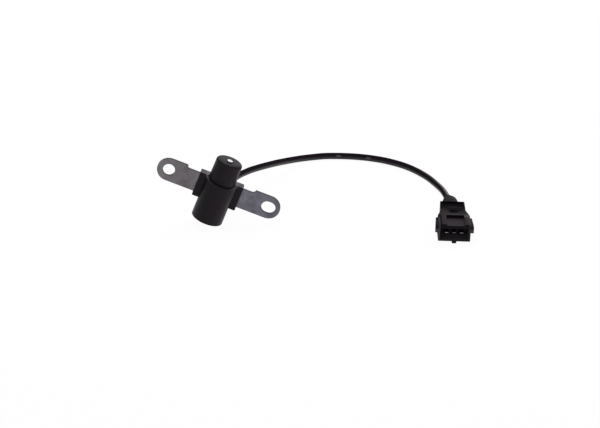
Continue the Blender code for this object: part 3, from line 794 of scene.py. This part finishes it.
@dataclass(frozen=True)
class CutBlade(BrightMetal):
    """A plated contact blade, with a painted highlight on part of its cut end and painted shade
    elsewhere.

    Attributes:
        left: Where the painted highlight starts, in metres to the right in the plug's frame.
        left_soft: Half the width of that edge.
        height: Where it ends, upwards.
        height_soft: Half the width of that edge.
        painted_shade: How bright the rest is under its painted shade.
    """

    left: float = 0.0
    left_soft: float = 0.1 * MM
    height: float = 1.0
    height_soft: float = 0.05 * MM
    painted_shade: float = 0.15

    def surface(self, graph: Graph) -> Sockets:
        """Paints shade on the metal away from the lit patch of its cut end.

        Args:
            graph: The material's node tree.

        Returns:
            The sockets that vary.
        """
        sockets = super().surface(graph)
        right, _, up = graph.measured(self.frame)
        cut = graph.facing(-self.axes[1]).step(0.94, 0.99)
        cut = cut * right.step(self.left - self.left_soft, self.left + self.left_soft)
        cut = cut * up.step(self.height + self.height_soft, self.height - self.height_soft)
        # Painted shade over the blade, except a painted highlight on the patch of its cut end.
        lit_share = self.painted_shade + (1 - self.painted_shade) * cut
        sockets["Base Color"] = graph.tint(sockets["Base Color"], lit_share)
        return sockets


@dataclass(frozen=True)
class Winding(Finish):
    """Enamelled wire laid in turns round the head's axis.

    Attributes:
        lean: How far that axis leans to the right.
        pitch: How far the turns lie apart, in metres.
        depth: How deep the grooves between them are.
        drift: The width of paler places.
    """

    lean: float = LEAN
    pitch: float = 0.22 * MM
    depth: float = 0.05 * MM
    drift: float = 2.0 * MM

    def surface(self, graph: Graph) -> Sockets:
        """Gives the turns' colour, roughness and relief.

        Args:
            graph: The material's node tree.

        Returns:
            The sockets that vary.
        """
        place = graph.place()
        axis = Vector((math.sin(self.lean), 0, math.cos(self.lean)))
        turns = graph.along(place, axis).wave(self.pitch)
        drift = graph.noise(place, self.drift)
        return {
            "Base Color": graph.tint(self.colour, 0.6 + 0.35 * turns + 0.2 * drift),
            "Roughness": self.roughness + 0.1 * drift,
            "Normal": graph.bump(turns, self.depth),
        }


@dataclass(frozen=True)
class Rubber(Finish):
    """Matt rubber with a soft bloom and a fine grain.

    Attributes:
        bloom: The bloom's colour.
        cloud: The width of its clouds, in metres.
        grain: The grain's width.
        depth: The grain's depth.
    """

    bloom: Colour = (0.075, 0.073, 0.076)
    cloud: float = 2.4 * MM
    grain: float = 0.22 * MM
    depth: float = 0.010 * MM

    def surface(self, graph: Graph) -> Sockets:
        """Gives the rubber's colour, roughness and grain.

        Args:
            graph: The material's node tree.

        Returns:
            The sockets that vary.
        """
        place = graph.place()
        cloud = graph.noise(place, self.cloud, 4.0)
        grain = graph.noise(place, self.grain, 2.0)
        return {
            "Base Color": graph.blend(cloud.step(0.45, 0.85) * 0.5, self.colour, self.bloom),
            "Roughness": self.roughness - 0.08 + 0.16 * cloud,
            "Normal": graph.bump(grain, self.depth),
        }


@dataclass(frozen=True)
class Jacket(Finish):
    """Extruded cable jacket, streaked lengthways and glossier below, with painted light on it.

    Attributes:
        streak: The streaks' width, in metres.
        depth: Their depth.
        cloud: The width of paler clouds.
        grain: The grain's width.
        sheen_spot: The width of the spots with painted glints below.
        dust_and_sheen: The colour of the painted light: a painted reflection below, painted glints
            and a painted highlight near the plug.
        hand: The direction that the side with the painted highlight faces.
        near_plug: Where the painted highlight starts, in millimetres to the right.
        painted_glints: Each painted glint's middle and half its length, in millimetres to the
            right, and how far it is turned to the right from the front.
    """

    streak: float = 0.9 * MM
    depth: float = 0.012 * MM
    cloud: float = 7.0 * MM
    grain: float = 0.3 * MM
    sheen_spot: float = 4.0 * MM
    dust_and_sheen: Colour = (0.075, 0.068, 0.075)
    hand: Vector = field(default_factory=lambda: Vector((0.85, 0.20, 0.49)))
    near_plug: Edge = (122.0, 152.0)
    painted_glints: tuple[tuple[float, float, float], ...] = ((72.7, 2.2, 0.06), (93.7, 2.0, -0.27))

    def surface(self, graph: Graph) -> Sockets:
        """Gives the jacket's colour, roughness, gloss and streaks.

        Args:
            graph: The material's node tree.

        Returns:
            The sockets that vary.
        """
        place = graph.place()
        spread = graph.place(Place.SURFACE)
        length = graph.along(spread, Vector((1, 0, 0)))
        around = graph.along(spread, Vector((0, 1, 0)))
        drawn = graph.noise(graph.point(length * 0.03, around, 0.0), self.streak, 3.0)
        cloud = graph.noise(place, self.cloud, 3.0)
        grain = graph.noise(place, self.grain, 2.0)
        # Spots where painted glints show below.
        sheen_spot = graph.noise(place, self.sheen_spot, 2.0).step(0.58, 0.70)
        ahead = graph.along(place, Vector((1, 0, 0)))
        below = graph.facing(Vector((0, 0, 1))).step(0.55, -0.15)
        # Painted highlight on the side towards the light, near the plug.
        painted_highlight = ahead.rise(self.near_plug) * graph.facing(self.hand).step(0.05, 0.75)
        glossy = below.larger(painted_highlight)
        # Painted reflection, paler below, with painted glints in spots and the painted highlight.
        sheen_share = (glossy * (0.15 + 0.6 * sheen_spot)).larger(0.8 * painted_highlight)
        # Painted glints at two places.
        for middle, half, turn in self.painted_glints:
            toward = graph.facing(Vector((turn, -0.94, 0.34)).normalized()).step(0.94, 0.99)
            painted_glint = toward * abs(ahead - middle * MM).fall((0.5 * half, half))
            sheen_share = sheen_share.larger(painted_glint)
        plain = graph.tint(self.colour, 0.75 + 0.3 * cloud + 0.2 * drawn)
        return {
            "Base Color": graph.blend(sheen_share, plain, self.dust_and_sheen),
            "Coat Weight": 0.5 * glossy,
            "Coat Roughness": 0.25,
            "Roughness": self.roughness - 0.07 + 0.14 * cloud,
            "Normal": graph.bump(drawn + 0.3 * grain, self.depth),
        }


@dataclass(frozen=True)
class Film(Finish):
    """Thin wound film with overlapping edges, or smooth insulation.

    Attributes:
        crease: The creases' width, in metres.
        depth: Their depth.
    """

    crease: float = 1.5 * MM
    depth: float = 0.03 * MM

    def surface(self, graph: Graph) -> Sockets:
        """Gives the film's colour and creases.

        Args:
            graph: The material's node tree.

        Returns:
            The sockets that vary.
        """
        crease = graph.noise(graph.place(), self.crease, 4.0)
        return {
            "Base Color": graph.tint(self.colour, 0.85 + 0.3 * crease),
            "Normal": graph.bump(crease, self.depth),
        }


POTTING = Moulding("potting_compound", (0.022, 0.022, 0.023), 0.55, specular=0.4, grain=0.8 * MM)
BARE = BrightMetal("bare_steel", (0.80, 0.80, 0.80), 0.17, metallic=1.0)
FERRITE = BrightMetal("magnet_grey", (0.20, 0.20, 0.21), 0.42, metallic=1.0)
NYLON = Moulding("bobbin_nylon", (0.62, 0.57, 0.45), 0.5)
COPPER = Winding("enamelled_copper", (0.60, 0.25, 0.12), 0.35, metallic=1.0)
YELLOW = Film("yellow_film", (0.75, 0.60, 0.15), 0.4)
RUBBER = Rubber("black_rubber", (0.016, 0.0135, 0.016), 0.62, specular=0.02)
SHEATH = Jacket("cable_jacket", (0.0095, 0.0070, 0.0095), 0.40, specular=0.0)
SILICONE = Rubber("seal_silicone", (0.45, 0.14, 0.08), 0.6, bloom=(0.55, 0.22, 0.14))
RED = Film("red_insulation", (0.45, 0.03, 0.03), 0.5)
BLUE = Film("blue_insulation", (0.03, 0.08, 0.35), 0.5)
SCREEN = BrightMetal("screen_wire", (0.60, 0.60, 0.60), 0.4, metallic=1.0)


@dataclass(frozen=True)
class SoftEdges:
    """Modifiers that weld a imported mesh, round its sharp edges and shade it smooth.

    Attributes:
        weld: How close two points are before they become one, in metres.
        smooth_below: The angle below which an edge is shaded smooth.
        round_above: The angle above which an edge is rounded.
        segments: How many strips a rounded edge has.
    """

    weld: float = 0.002 * MM
    smooth_below: float = math.radians(38)
    round_above: float = math.radians(50)
    segments: int = 2

    def group(self) -> bpy.types.NodeTree:
        """Makes the node group that welds a mesh and smooths it by angle.

        Returns:
            The node group, made once.
        """
        known = bpy.data.node_groups.get("weld_and_smooth")
        if known is not None:
            return known
        tree = bpy.data.node_groups.new("weld_and_smooth", "GeometryNodeTree")
        tree.interface.new_socket("Mesh", in_out="INPUT", socket_type="NodeSocketGeometry")
        tree.interface.new_socket("Mesh", in_out="OUTPUT", socket_type="NodeSocketGeometry")
        graph = Graph(tree)
        mesh = graph.node("NodeGroupInput")
        mesh = graph.node("GeometryNodeRemoveAttribute", None, {0: mesh, "Name": "custom_normal"})
        mesh = graph.node("GeometryNodeMergeByDistance", None, {0: mesh, "Distance": self.weld})
        angle = graph.node("GeometryNodeInputMeshEdgeAngle")
        below = {"data_type": "FLOAT", "operation": "LESS_THAN"}
        soft = graph.node("FunctionNodeCompare", below, {0: angle, 1: self.smooth_below})
        for domain, smooth in (("FACE", True), ("EDGE", soft)):
            shading = {0: mesh, "Shade Smooth": smooth}
            mesh = graph.node("GeometryNodeSetShadeSmooth", {"domain": domain}, shading)
        graph.node("NodeGroupOutput", None, {0: mesh})
        return tree

    def add(self, piece: bpy.types.Object, width: float) -> None:
        """Adds the modifiers to one rigid piece.

        Args:
            piece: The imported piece.
            width: How wide its rounded edges are, in metres, or 0 for none.
        """
        welded = piece.modifiers.new("weld", "NODES")
        welded.node_group = self.group()
        if width > 0:
            bevel = piece.modifiers.new("soft_edges", "BEVEL")
            bevel.width = width
            bevel.segments = self.segments
            bevel.limit_method = "ANGLE"
            bevel.angle_limit = self.round_above
            smoothed = piece.modifiers.new("smooth", "NODES")
            smoothed.node_group = self.group()


@dataclass(frozen=True)
class SmoothPath:
    """A smooth curve through given points.

    Attributes:
        knots: The points, in metres.
        pieces: How many short pieces lie between two of them.
    """

    knots: tuple[Vector, ...]
    pieces: int = 16

    def fine(self) -> list[Vector]:
        """Follows the curve closely.

        Returns:
            Points along it, unevenly spread.
        """
        first, last = self.knots[0], self.knots[-1]
        ends = [2 * first - self.knots[1], *self.knots, 2 * last - self.knots[-2]]
        line = []
        for before, start, stop, after in zip(ends, ends[1:], ends[2:], ends[3:]):
            for k in range(self.pieces):
                t = k / self.pieces
                bend = (2 * before - 5 * start + 4 * stop - after) * t * t
                twist = (3 * start - before - 3 * stop + after) * t * t * t
                line.append((2 * start + (stop - before) * t + bend + twist) / 2)
        return [*line, last.copy()]

    def spread(self, step: float) -> list[Vector]:
        """Walks the curve in even steps.

        Args:
            step: The length of one step, in metres.

        Returns:
            The points, both ends included.
        """
        line = self.fine()
        reach = [0.0]
        for here, there in zip(line, line[1:]):
            reach.append(reach[-1] + (there - here).length)
        count = max(2, round(reach[-1] / step))
        points, at = [], 0
        for i in range(count + 1):
            goal = reach[-1] * i / count
            while at < len(reach) - 2 and reach[at + 1] < goal:
                at += 1
            share = (goal - reach[at]) / (reach[at + 1] - reach[at])
            points.append(line[at].lerp(line[at + 1], min(share, 1.0)))
        return points


def circle(sides: int) -> list[tuple[float, float]]:
    """Walks round a circle of radius 1.

    Args:
        sides: How many even steps it takes.

    Returns:
        The points.
    """
    turns = [2 * math.pi * i / sides for i in range(sides)]
    return [(math.cos(turn), math.sin(turn)) for turn in turns]


def add_object(name: str, data: bpy.types.ID) -> bpy.types.Object:
    """Makes an object and links it to the scene.

    Args:
        name: Its name.
        data: Its mesh, camera or light.

    Returns:
        The object.
    """
    made = bpy.data.objects.new(name, data)
    bpy.context.scene.collection.objects.link(made)
    return made


@dataclass(frozen=True)
class Skin:
    """A closed skin over a row of rings, with its length and girth mapped in metres.

    Attributes:
        rings: The rings, each with as many points as the others.
        sharp_above: The angle above which an edge is shaded sharp.
    """

    rings: Sequence[Sequence[Vector]]
    sharp_above: float = math.radians(50)

    def piece(self, name: str, finish: Finish) -> bpy.types.Object:
        """Builds the skin as one smooth object.

        Args:
            name: The object's name.
            finish: Its finish.

        Returns:
            The object, linked to the scene.
        """
        bm = bmesh.new()
        chart = bm.loops.layers.uv.new("spread")
        rows = [[bm.verts.new(point) for point in ring] for ring in self.rings]
        sides = len(rows[0])
        girth = sum((self.rings[0][i - 1] - self.rings[0][i]).length for i in range(sides))
        turn = girth / sides
        reach = 0.0
        for low, high in zip(rows, rows[1:]):
            further = reach + (high[0].co - low[0].co).length
            for i in range(sides):
                j = (i + 1) % sides
                face = bm.faces.new((low[i], low[j], high[j], high[i]))
                near, far = i * turn, (i + 1) * turn
                spots = ((reach, near), (reach, far), (further, far), (further, near))
                for loop, spot in zip(face.loops, spots):
                    loop[chart].uv = spot
            reach = further
        bm.faces.new(rows[0])
        bm.faces.new(rows[-1])
        bmesh.ops.recalc_face_normals(bm, faces=bm.faces)
        return self._object(name, bm, finish)

    def _object(self, name: str, bm: bmesh.types.BMesh, finish: Finish) -> bpy.types.Object:
        """Turns a bmesh into a smooth object that rides on the part.

        Args:
            name: The object's name.
            bm: The bmesh, which is freed.
            finish: The object's finish.

        Returns:
            The object.
        """
        mesh = bpy.data.meshes.new(name)
        bm.to_mesh(mesh)
        bm.free()
        mesh.shade_smooth()
        mesh.set_sharp_from_angle(angle=self.sharp_above)
        mesh.materials.append(finish.material())
        made = add_object(name, mesh)
        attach(made, BODY)
        return made


@dataclass(frozen=True)
class PhotoCamera:
    """The long lens that matches the photograph.

    Attributes:
        azimuth: The turn round the part, in degrees.
        elevation: The height above the floor, in degrees.
        distance: How far it stands, in metres.
        scale: Photograph pixels for each metre at the target.
        width: The photograph's width in pixels.
        sensor: The sensor's width in millimetres, which only sets how the lens is written.
        clip: The nearest and the farthest distance that it shows, in metres.
        target: The floor point in the middle of the view.
    """

    azimuth: float = 4.9
    elevation: float = 23.3
    distance: float = 5.0
    scale: float = 1460.0
    width: float = 600.0
    sensor: float = 36.0
    clip: tuple[float, float] = (0.1, 30.0)
    target: tuple[float, float, float] = (54.1 * MM, 17.4 * MM, 0.0)

    def build(self) -> bpy.types.Object:
        """Makes the camera and sets it as the scene's.

        Returns:
            The camera.
        """
        lens = bpy.data.cameras.new("photo_camera")
        lens.sensor_width = self.sensor
        lens.lens = self.sensor * self.distance * self.scale / self.width
        lens.clip_start, lens.clip_end = self.clip
        turn, rise = math.radians(self.azimuth), math.radians(self.elevation)
        level = math.cos(rise)
        back = Vector((math.sin(turn) * level, -math.cos(turn) * level, math.sin(rise)))
        camera = add_object("photo_camera", lens)
        camera.location = Vector(self.target) + back * self.distance
        camera.rotation_euler = (-back).to_track_quat("-Z", "Y").to_euler()
        bpy.context.scene.camera = camera
        return camera


@dataclass(frozen=True)
class SoftBox:
    """A square studio lamp.

    Attributes:
        name: Its name.
        place: Where it hangs, in metres.
        size: Its width.
        power: Its power in watts.
        aim: The point that it shines at.
    """

    name: str
    place: tuple[float, float, float]
    size: float
    power: float
    aim: tuple[float, float, float] = (0.05, 0.03, 0.0)

    def build(self) -> bpy.types.Object:
        """Makes the lamp.

        Returns:
            The lamp's object.
        """
        light = bpy.data.lights.new(self.name, "AREA")
        light.shape = "SQUARE"
        light.size = self.size
        light.energy = self.power
        lamp = add_object(self.name, light)
        lamp.location = self.place
        ray = Vector(self.aim) - Vector(self.place)
        lamp.rotation_euler = ray.to_track_quat("-Z", "Y").to_euler()
        return lamp


@dataclass(frozen=True)
class Studio:
    """White sweep, soft lamps and the plain colour settings.

    Attributes:
        half_floor: Half the floor's width, in metres.
        floor_drop: How far the floor lies below the part.
        paper: The floor's colour as a lit surface.
        floor_white: How white the camera sees the floor, apart from its shadows.
        ambient: The light from all round.
        lamps: The soft boxes.
    """

    half_floor: float = 6.0
    floor_drop: float = 0.05 * MM
    paper: Colour = (0.82, 0.82, 0.82)
    floor_white: float = 0.96
    ambient: float = 0.62
    lamps: tuple[SoftBox, ...] = (
        SoftBox("top_box", (0.00, 0.30, 0.95), 0.9, 7.0),
        SoftBox("right_box", (0.60, 0.70, 0.40), 0.4, 3.0),
    )

    def build(self) -> None:
        """Sets the world, the floor, the lamps and the colour view."""
        bpy.context.scene.view_settings.view_transform = "Standard"
        self._world()
        self._floor()
        for lamp in self.lamps:
            lamp.build()

    @staticmethod
    def _seen(graph: Graph) -> Signal:
        """A mask for rays that look at the background."""
        rays = [graph.node("ShaderNodeLightPath", output=name) for name in RAYS]
        return rays[0].larger(rays[1]).larger(rays[2])

    def _world(self) -> None:
        """Makes a world that is white to look at and grey as a light."""
        world = bpy.data.worlds.new("white_room")
        world.use_nodes = True
        graph = Graph(world.node_tree)
        strength = self.ambient + (1 - self.ambient) * self._seen(graph)
        light = {"Color": WHITE, "Strength": strength}
        glow = graph.node("ShaderNodeBackground", None, light)
        graph.node("ShaderNodeOutputWorld", None, {"Surface": glow})
        bpy.context.scene.world = world

    def _floor(self) -> None:
        """Lays a pale floor that keeps a faint shadow."""
        bm = bmesh.new()
        bmesh.ops.create_grid(bm, x_segments=1, y_segments=1, size=self.half_floor)
        mesh = bpy.data.meshes.new("studio_floor")
        bm.to_mesh(mesh)
        bm.free()
        made = bpy.data.materials.new("white_sweep")
        made.use_nodes = True
        graph = Graph(made.node_tree)
        paper = graph.node("ShaderNodeBsdfDiffuse", None, {"Color": self.paper})
        white = graph.node("ShaderNodeEmission", None, {"Color": WHITE, "Strength": 1.0})
        share = self._seen(graph) * self.floor_white
        mixed = graph.node("ShaderNodeMixShader", None, {0: share, 1: paper, 2: white})
        graph.node("ShaderNodeOutputMaterial", None, {"Surface": mixed})
        mesh.materials.append(made)
        floor = add_object("studio_floor", mesh)
        floor.location = (0, 0, -self.floor_drop)

@dataclass(frozen=True)
class Head:
    """The sensing head: moulding, strap and what is inside, and the gland at its outlet.

    Attributes:
        lean: How far it leans to the right.
        origin: The middle of the barrel's bottom face, in metres.
        outlet_height: The outlet's height on the barrel.
        outlet_turn: How far the outlet turns from straight back.
        gland_start: Where the gland's shank starts, out from the head's axis.
        gland_seat: Where its flange sits on the outlet.
        gland_end: Where its neck ends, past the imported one, so that it holds the cable.
        shank_radius: The shank's radius.
        flange_radius: The flange's radius.
        flange_width: How wide the flange is along the gland.
        flange_soft: The radius of its rounded edges.
        neck_radius: The last rib's radius.
        grip_radius: The radius at which it closes on the cable.
        rib_depth: How deep the folds between the ribs are.
        rib_shape: Places along one rib, and how much of that depth each lies down.
        ribs: How many ribs it has.
        sides: How many sides its rings have.
    """

    lean: float = LEAN
    origin: tuple[float, float, float] = (-7.987 * MM, -3.687 * MM, 3.697 * MM)
    outlet_height: float = 22.9 * MM
    outlet_turn: float = math.radians(18)
    gland_start: float = 12.8 * MM
    gland_seat: float = 17.55 * MM
    gland_end: float = 26.0 * MM
    shank_radius: float = 4.0 * MM
    flange_radius: float = 4.9 * MM
    flange_width: float = 1.3 * MM
    flange_soft: float = 0.25 * MM
    neck_radius: float = 2.75 * MM
    grip_radius: float = 2.35 * MM
    rib_depth: float = 0.55 * MM
    rib_shape: tuple[tuple[float, float], ...] = (
        (0.04, 1.0), (0.38, 1.0), (0.48, 0.15), (0.62, 0.0), (0.84, 0.0), (0.96, 0.2),
    )
    ribs: int = 4
    sides: int = 48

    @property
    def finishes(self) -> dict[str, tuple[Finish, float]]:
        """Lists the finishes.

        Returns:
            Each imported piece's finish, and how wide its edges are rounded.
        """
        return {
            "sensor_housing": (self.black, 0.15 * MM),
            "rear_plug": (POTTING, 0.15 * MM),
            "mounting_strap": (self.sheet, 0.0),
            "pole_piece": (self.pin, 0.0),
            "magnet": (FERRITE, 0.15 * MM),
            "coil_bobbin": (NYLON, 0.1 * MM),
            "coil_winding": (COPPER, 0.0),
            "winding_tape": (YELLOW, 0.0),
            "coil_pin_return": (BARE, 0.0),
            "coil_pin_signal": (BARE, 0.0),
            "head_lead_return": (BLUE, 0.0),
            "head_lead_signal": (RED, 0.0),
        }

    @property
    def black(self) -> Finish:
        """The housing's finish."""
        tone = (0.0100, 0.0070, 0.0100)
        return HeadMoulding("black_moulding", tone, 0.40, specular=0.10, frame=self.frame())

    @property
    def pin(self) -> Finish:
        """The pole piece's finish."""
        tone = (0.80, 0.79, 0.80)
        return TurnedPin("turned_steel", tone, 0.17, metallic=1.0, frame=self.frame())

    @property
    def sheet(self) -> Finish:
        """The strap's finish."""
        tone, shine = (0.172, 0.159, 0.172), {"metallic": 0.85, "specular": 0.05}
        return StampedSteel("dull_steel", tone, 0.50, **shine, frame=self.frame())

    def frame(self) -> Matrix:
        """The head's frame, with +Z up along its axis."""
        return Matrix.Translation(Vector(self.origin)) @ Matrix.Rotation(self.lean, 4, "Y")

    def outlet(self) -> Matrix:
        """The outlet's frame, with +Z out along it."""
        turn = Matrix.Rotation(-self.outlet_turn, 4, "Z") @ Matrix.Rotation(-math.pi / 2, 4, "X")
        return self.frame() @ Matrix.Translation((0, 0, self.outlet_height)) @ turn

    def gland_profile(self) -> list[tuple[float, float]]:
        """Draws the gland's outline, with its rounded flange and its ribs.

        Returns:
            Pairs of a radius and a reach along the outlet.
        """
        soft = self.flange_soft
        flange_end = self.gland_seat + self.flange_width
        profile = [
            (self.shank_radius, self.gland_start),
            (self.shank_radius, self.gland_seat),
            (self.flange_radius - soft, self.gland_seat),
            (self.flange_radius, self.gland_seat + soft),
            (self.flange_radius, flange_end - soft),
            (self.flange_radius - soft, flange_end),
        ]
        pitch = (self.gland_end - flange_end) / self.ribs
        for i in range(self.ribs):
            start = flange_end + pitch * i
            fall = (i + 0.5) / self.ribs
            outer = self.shank_radius + (self.neck_radius - self.shank_radius) * fall
            for share, drop in self.rib_shape:
                profile.append((outer - self.rib_depth * drop, start + pitch * share))
        profile.append((self.grip_radius, self.gland_end))
        return profile

    def build_gland(self) -> bpy.types.Object:
        """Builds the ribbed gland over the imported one.

        Returns:
            The gland.
        """
        frame = self.outlet()
        rings = []
        for radius, reach in self.gland_profile():
            spots = [Vector((radius * x, radius * y, reach)) for x, y in circle(self.sides)]
            rings.append([frame @ spot for spot in spots])
        gland = Skin(rings).piece("ribbed_gland", RUBBER)
        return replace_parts(gland, "cable_gland")


@dataclass(frozen=True)
class CableRun:
    """The round cable from the gland to the boot.

    Attributes:
        radius: The jacket's radius, in metres.
        step: How far its rings lie apart.
        sides: How many sides each ring has.
        route: The points that it passes, in millimetres.
    """

    radius: float = 2.25 * MM
    step: float = 1.5 * MM
    sides: int = 28
    route: tuple[tuple[float, float, float], ...] = (
        (7.4, 20.4, 22.4), (9.2, 26.4, 21.9), (11.6, 34.0, 20.8), (14.9, 41.8, 19.6),
        (18.4, 49.4, 18.3), (25.5, 63.4, 15.3), (32.5, 77.8, 11.7), (39.5, 91.6, 7.9),
        (46.8, 103.2, 4.8), (54.3, 110.7, 3.0), (62.2, 114.8, 2.4), (70.4, 116.1, 2.3),
        (78.7, 116.3, 2.3), (86.9, 115.7, 2.3), (95.3, 114.1, 2.3), (103.8, 111.3, 2.3),
        (112.4, 107.1, 2.3), (121.2, 101.1, 2.3), (130.2, 92.2, 2.3), (138.2, 81.4, 2.4),
        (144.2, 69.8, 2.9), (148.8, 56.8, 4.8), (152.0, 44.0, 6.9), (154.3, 33.9, 8.0),
    )

    def path(self) -> list[Vector]:
        """The cable's middle line, in metres."""
        knots = tuple(Vector(point) * MM for point in self.route)
        return SmoothPath(knots).spread(self.step)

    def build(self) -> tuple[bpy.types.Object, list[Vector]]:
        """Builds the jacket as a tube with level rings.

        Returns:
            The cable and its middle line.
        """
        line = self.path()
        rings = []
        for i, spot in enumerate(line):
            heading = (line[min(i + 1, len(line) - 1)] - line[max(i - 1, 0)]).normalized()
            aside = heading.cross(Vector((0, 0, 1))).normalized()
            upward = aside.cross(heading)
            turns = circle(self.sides)
            rings.append([spot + self.radius * (x * aside + y * upward) for x, y in turns])
        cable = Skin(rings).piece("cable_run", SHEATH)
        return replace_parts(cable, "sensor_cable"), line

    def declare(
        self, cable: bpy.types.Object, line: list[Vector], riders: Sequence[object]
    ) -> float:
        """Measures the cable's length.

        Args:
            cable: The cable's piece; not used.
            line: Its middle line.
            riders: The pieces on it; not used.

        Returns:
            Its length in metres.
        """
        length = sum((there - here).length for here, there in zip(line, line[1:]))
        return length


@dataclass(frozen=True)
class Connector:
    """The flat plug: shell, contacts and what is inside, and the boot behind it.

    Attributes:
        place: The foot of the key below the mouth, in metres.
        turn: Its turn on the floor.
        roll: How far it rolls to the right on its key.
        shell_length: The shell's length.
        boot_length: The boot's length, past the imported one, so that it holds the cable.
        boot_radius: Its largest radius.
        boot_height: Its middle's height.
        boot_bend: How far it bends to the left.
        boot_stations: Shares of its length and of its radius, from the shell to the cable.
        flattening: Its height at the shell, as a share of its width.
        sides: How many sides its rings have.
    """

    place: tuple[float, float, float] = (162.5 * MM, -24.6 * MM, 0.061 * MM)
    turn: float = math.radians(6.5)
    roll: float = math.radians(2.6)
    shell_length: float = 40.6 * MM
    boot_length: float = 18.2 * MM
    boot_radius: float = 5.4 * MM
    boot_height: float = 7.9 * MM
    boot_bend: float = 1.8 * MM
    boot_stations: tuple[tuple[float, float], ...] = (
        (0.000, 0.900), (0.012, 0.950), (0.070, 0.970), (0.085, 0.930), (0.130, 0.930),
        (0.150, 0.980), (0.250, 1.000), (0.380, 1.000), (0.500, 1.000), (0.590, 0.985),
        (0.660, 0.955), (0.720, 0.905), (0.770, 0.845), (0.815, 0.760), (0.850, 0.670),
        (0.885, 0.590), (0.915, 0.555), (0.925, 0.530), (0.950, 0.530), (0.960, 0.560),
        (1.010, 0.560), (1.020, 0.500), (1.022, 0.430),
    )
    flattening: float = 0.9
    sides: int = 48

    @property
    def finishes(self) -> dict[str, tuple[Finish, float]]:
        """Lists the finishes.

        Returns:
            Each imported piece's finish, and how wide its edges are rounded.
        """
        # Each blade's grey, left and height set the strength and the place of the painted
        # highlight on its cut end.
        left = self.blade("tinned_brass", 0.36, -6.0 * MM, 7.0 * MM)
        centre = self.blade("centre_blade_brass", 0.22, -0.8 * MM, 7.0 * MM)
        right = self.blade("right_blade_brass", 0.62, 4.2 * MM, 5.84 * MM)
        return {
            "connector_shell": (self.black, 0.12 * MM),
            "contact_left": (left, 0.05 * MM),
            "contact_centre": (centre, 0.05 * MM),
            "contact_right": (right, 0.05 * MM),
            "contact_lock": (NYLON, 0.1 * MM),
            "wire_seal": (SILICONE, 0.1 * MM),
            "plug_lead_signal": (RED, 0.0),
            "plug_lead_return": (BLUE, 0.0),
            "plug_lead_screen": (SCREEN, 0.0),
        }

    @property
    def black(self) -> Finish:
        """The shell's finish."""
        tone = (0.0165, 0.0128, 0.0165)
        return PlugMoulding("plug_moulding", tone, 0.50, specular=0.03, frame=self.frame())

    def blade(self, slot: str, grey: float, left: float, height: float) -> Finish:
        """Makes a contact's finish.

        Args:
            slot: The finish's name.
            grey: How light its metal is, which also sets how bright its painted highlight shows.
            left: Where its painted highlight starts, in metres to the right.
            height: Where that ends, upwards.

        Returns:
            The finish, with painted shade and a painted highlight on the end towards the mouth.
        """
        colour = (grey, 0.98 * grey, 0.95 * grey)
        bright = {"left": left, "height": height}
        return CutBlade(slot, colour, 0.18, metallic=1.0, frame=self.frame(), **bright)

    @property
    def on_cable(self) -> list[str]:
        """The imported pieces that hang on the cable."""
        return list(self.finishes)

    def frame(self) -> Matrix:
        """The connector's frame, with +Y from the mouth to the cable."""
        turned = Matrix.Rotation(self.turn, 4, "Z") @ Matrix.Rotation(self.roll, 4, "Y")
        return Matrix.Translation(Vector(self.place)) @ turned

    def build_boot(self) -> bpy.types.Object:
        """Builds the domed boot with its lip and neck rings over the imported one.

        Returns:
            The boot.
        """
        frame = self.frame()
        rings = []
        for share, size in self.boot_stations:
            back = self.shell_length + self.boot_length * share
            spot = Vector((-self.boot_bend * share * share, back, self.boot_height))
            slant = -2 * self.boot_bend * share / self.boot_length
            heading = Vector((slant, 1, 0)).normalized()
            across = Vector((heading.y, -heading.x, 0))
            flat = self.flattening + (1 - self.flattening) * min(share, 1.0)
            ring = []
            for x, y in circle(self.sides):
                offset = across * x + Vector((0, 0, flat * y))
                ring.append(frame @ (spot + offset * self.boot_radius * size))
            rings.append(ring)
        boot = Skin(rings).piece("domed_boot", RUBBER)
        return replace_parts(boot, "connector_boot")


def dress(
    nodes: Mapping[str, bpy.types.Object], finishes: Mapping[str, tuple[Finish, float]]
) -> None:
    """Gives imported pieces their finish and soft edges.

    Args:
        nodes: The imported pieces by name.
        finishes: Each piece's finish and edge width.
    """
    edges = SoftEdges()
    for name, (finish, width) in finishes.items():
        piece = nodes[name]
        piece.data.materials.clear()
        piece.data.materials.append(finish.material())
        edges.add(piece, width)
        LOG.info("dressed %s with %s", name, finish.slot)


def main() -> None:
    """Builds the camera, the cable, the dressed pieces and the studio, in that order."""
    logging.basicConfig(level=logging.INFO, format="%(name)s: %(message)s")
    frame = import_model()
    PhotoCamera().build()

    head, run, connector = Head(), CableRun(), Connector()
    cable, line = run.build()
    gland, boot = head.build_gland(), connector.build_boot()
    riders = [gland, boot, *(frame["nodes"][name] for name in connector.on_cable)]
    length = run.declare(cable, line, riders)
    names = cable.name, gland.name, boot.name
    LOG.info("built %s with %s and %s, %.1f mm long", *names, length / MM)

    dress(frame["nodes"], head.finishes)
    dress(frame["nodes"], connector.finishes)
    Studio().build()


if __name__ == "__main__":
    main()
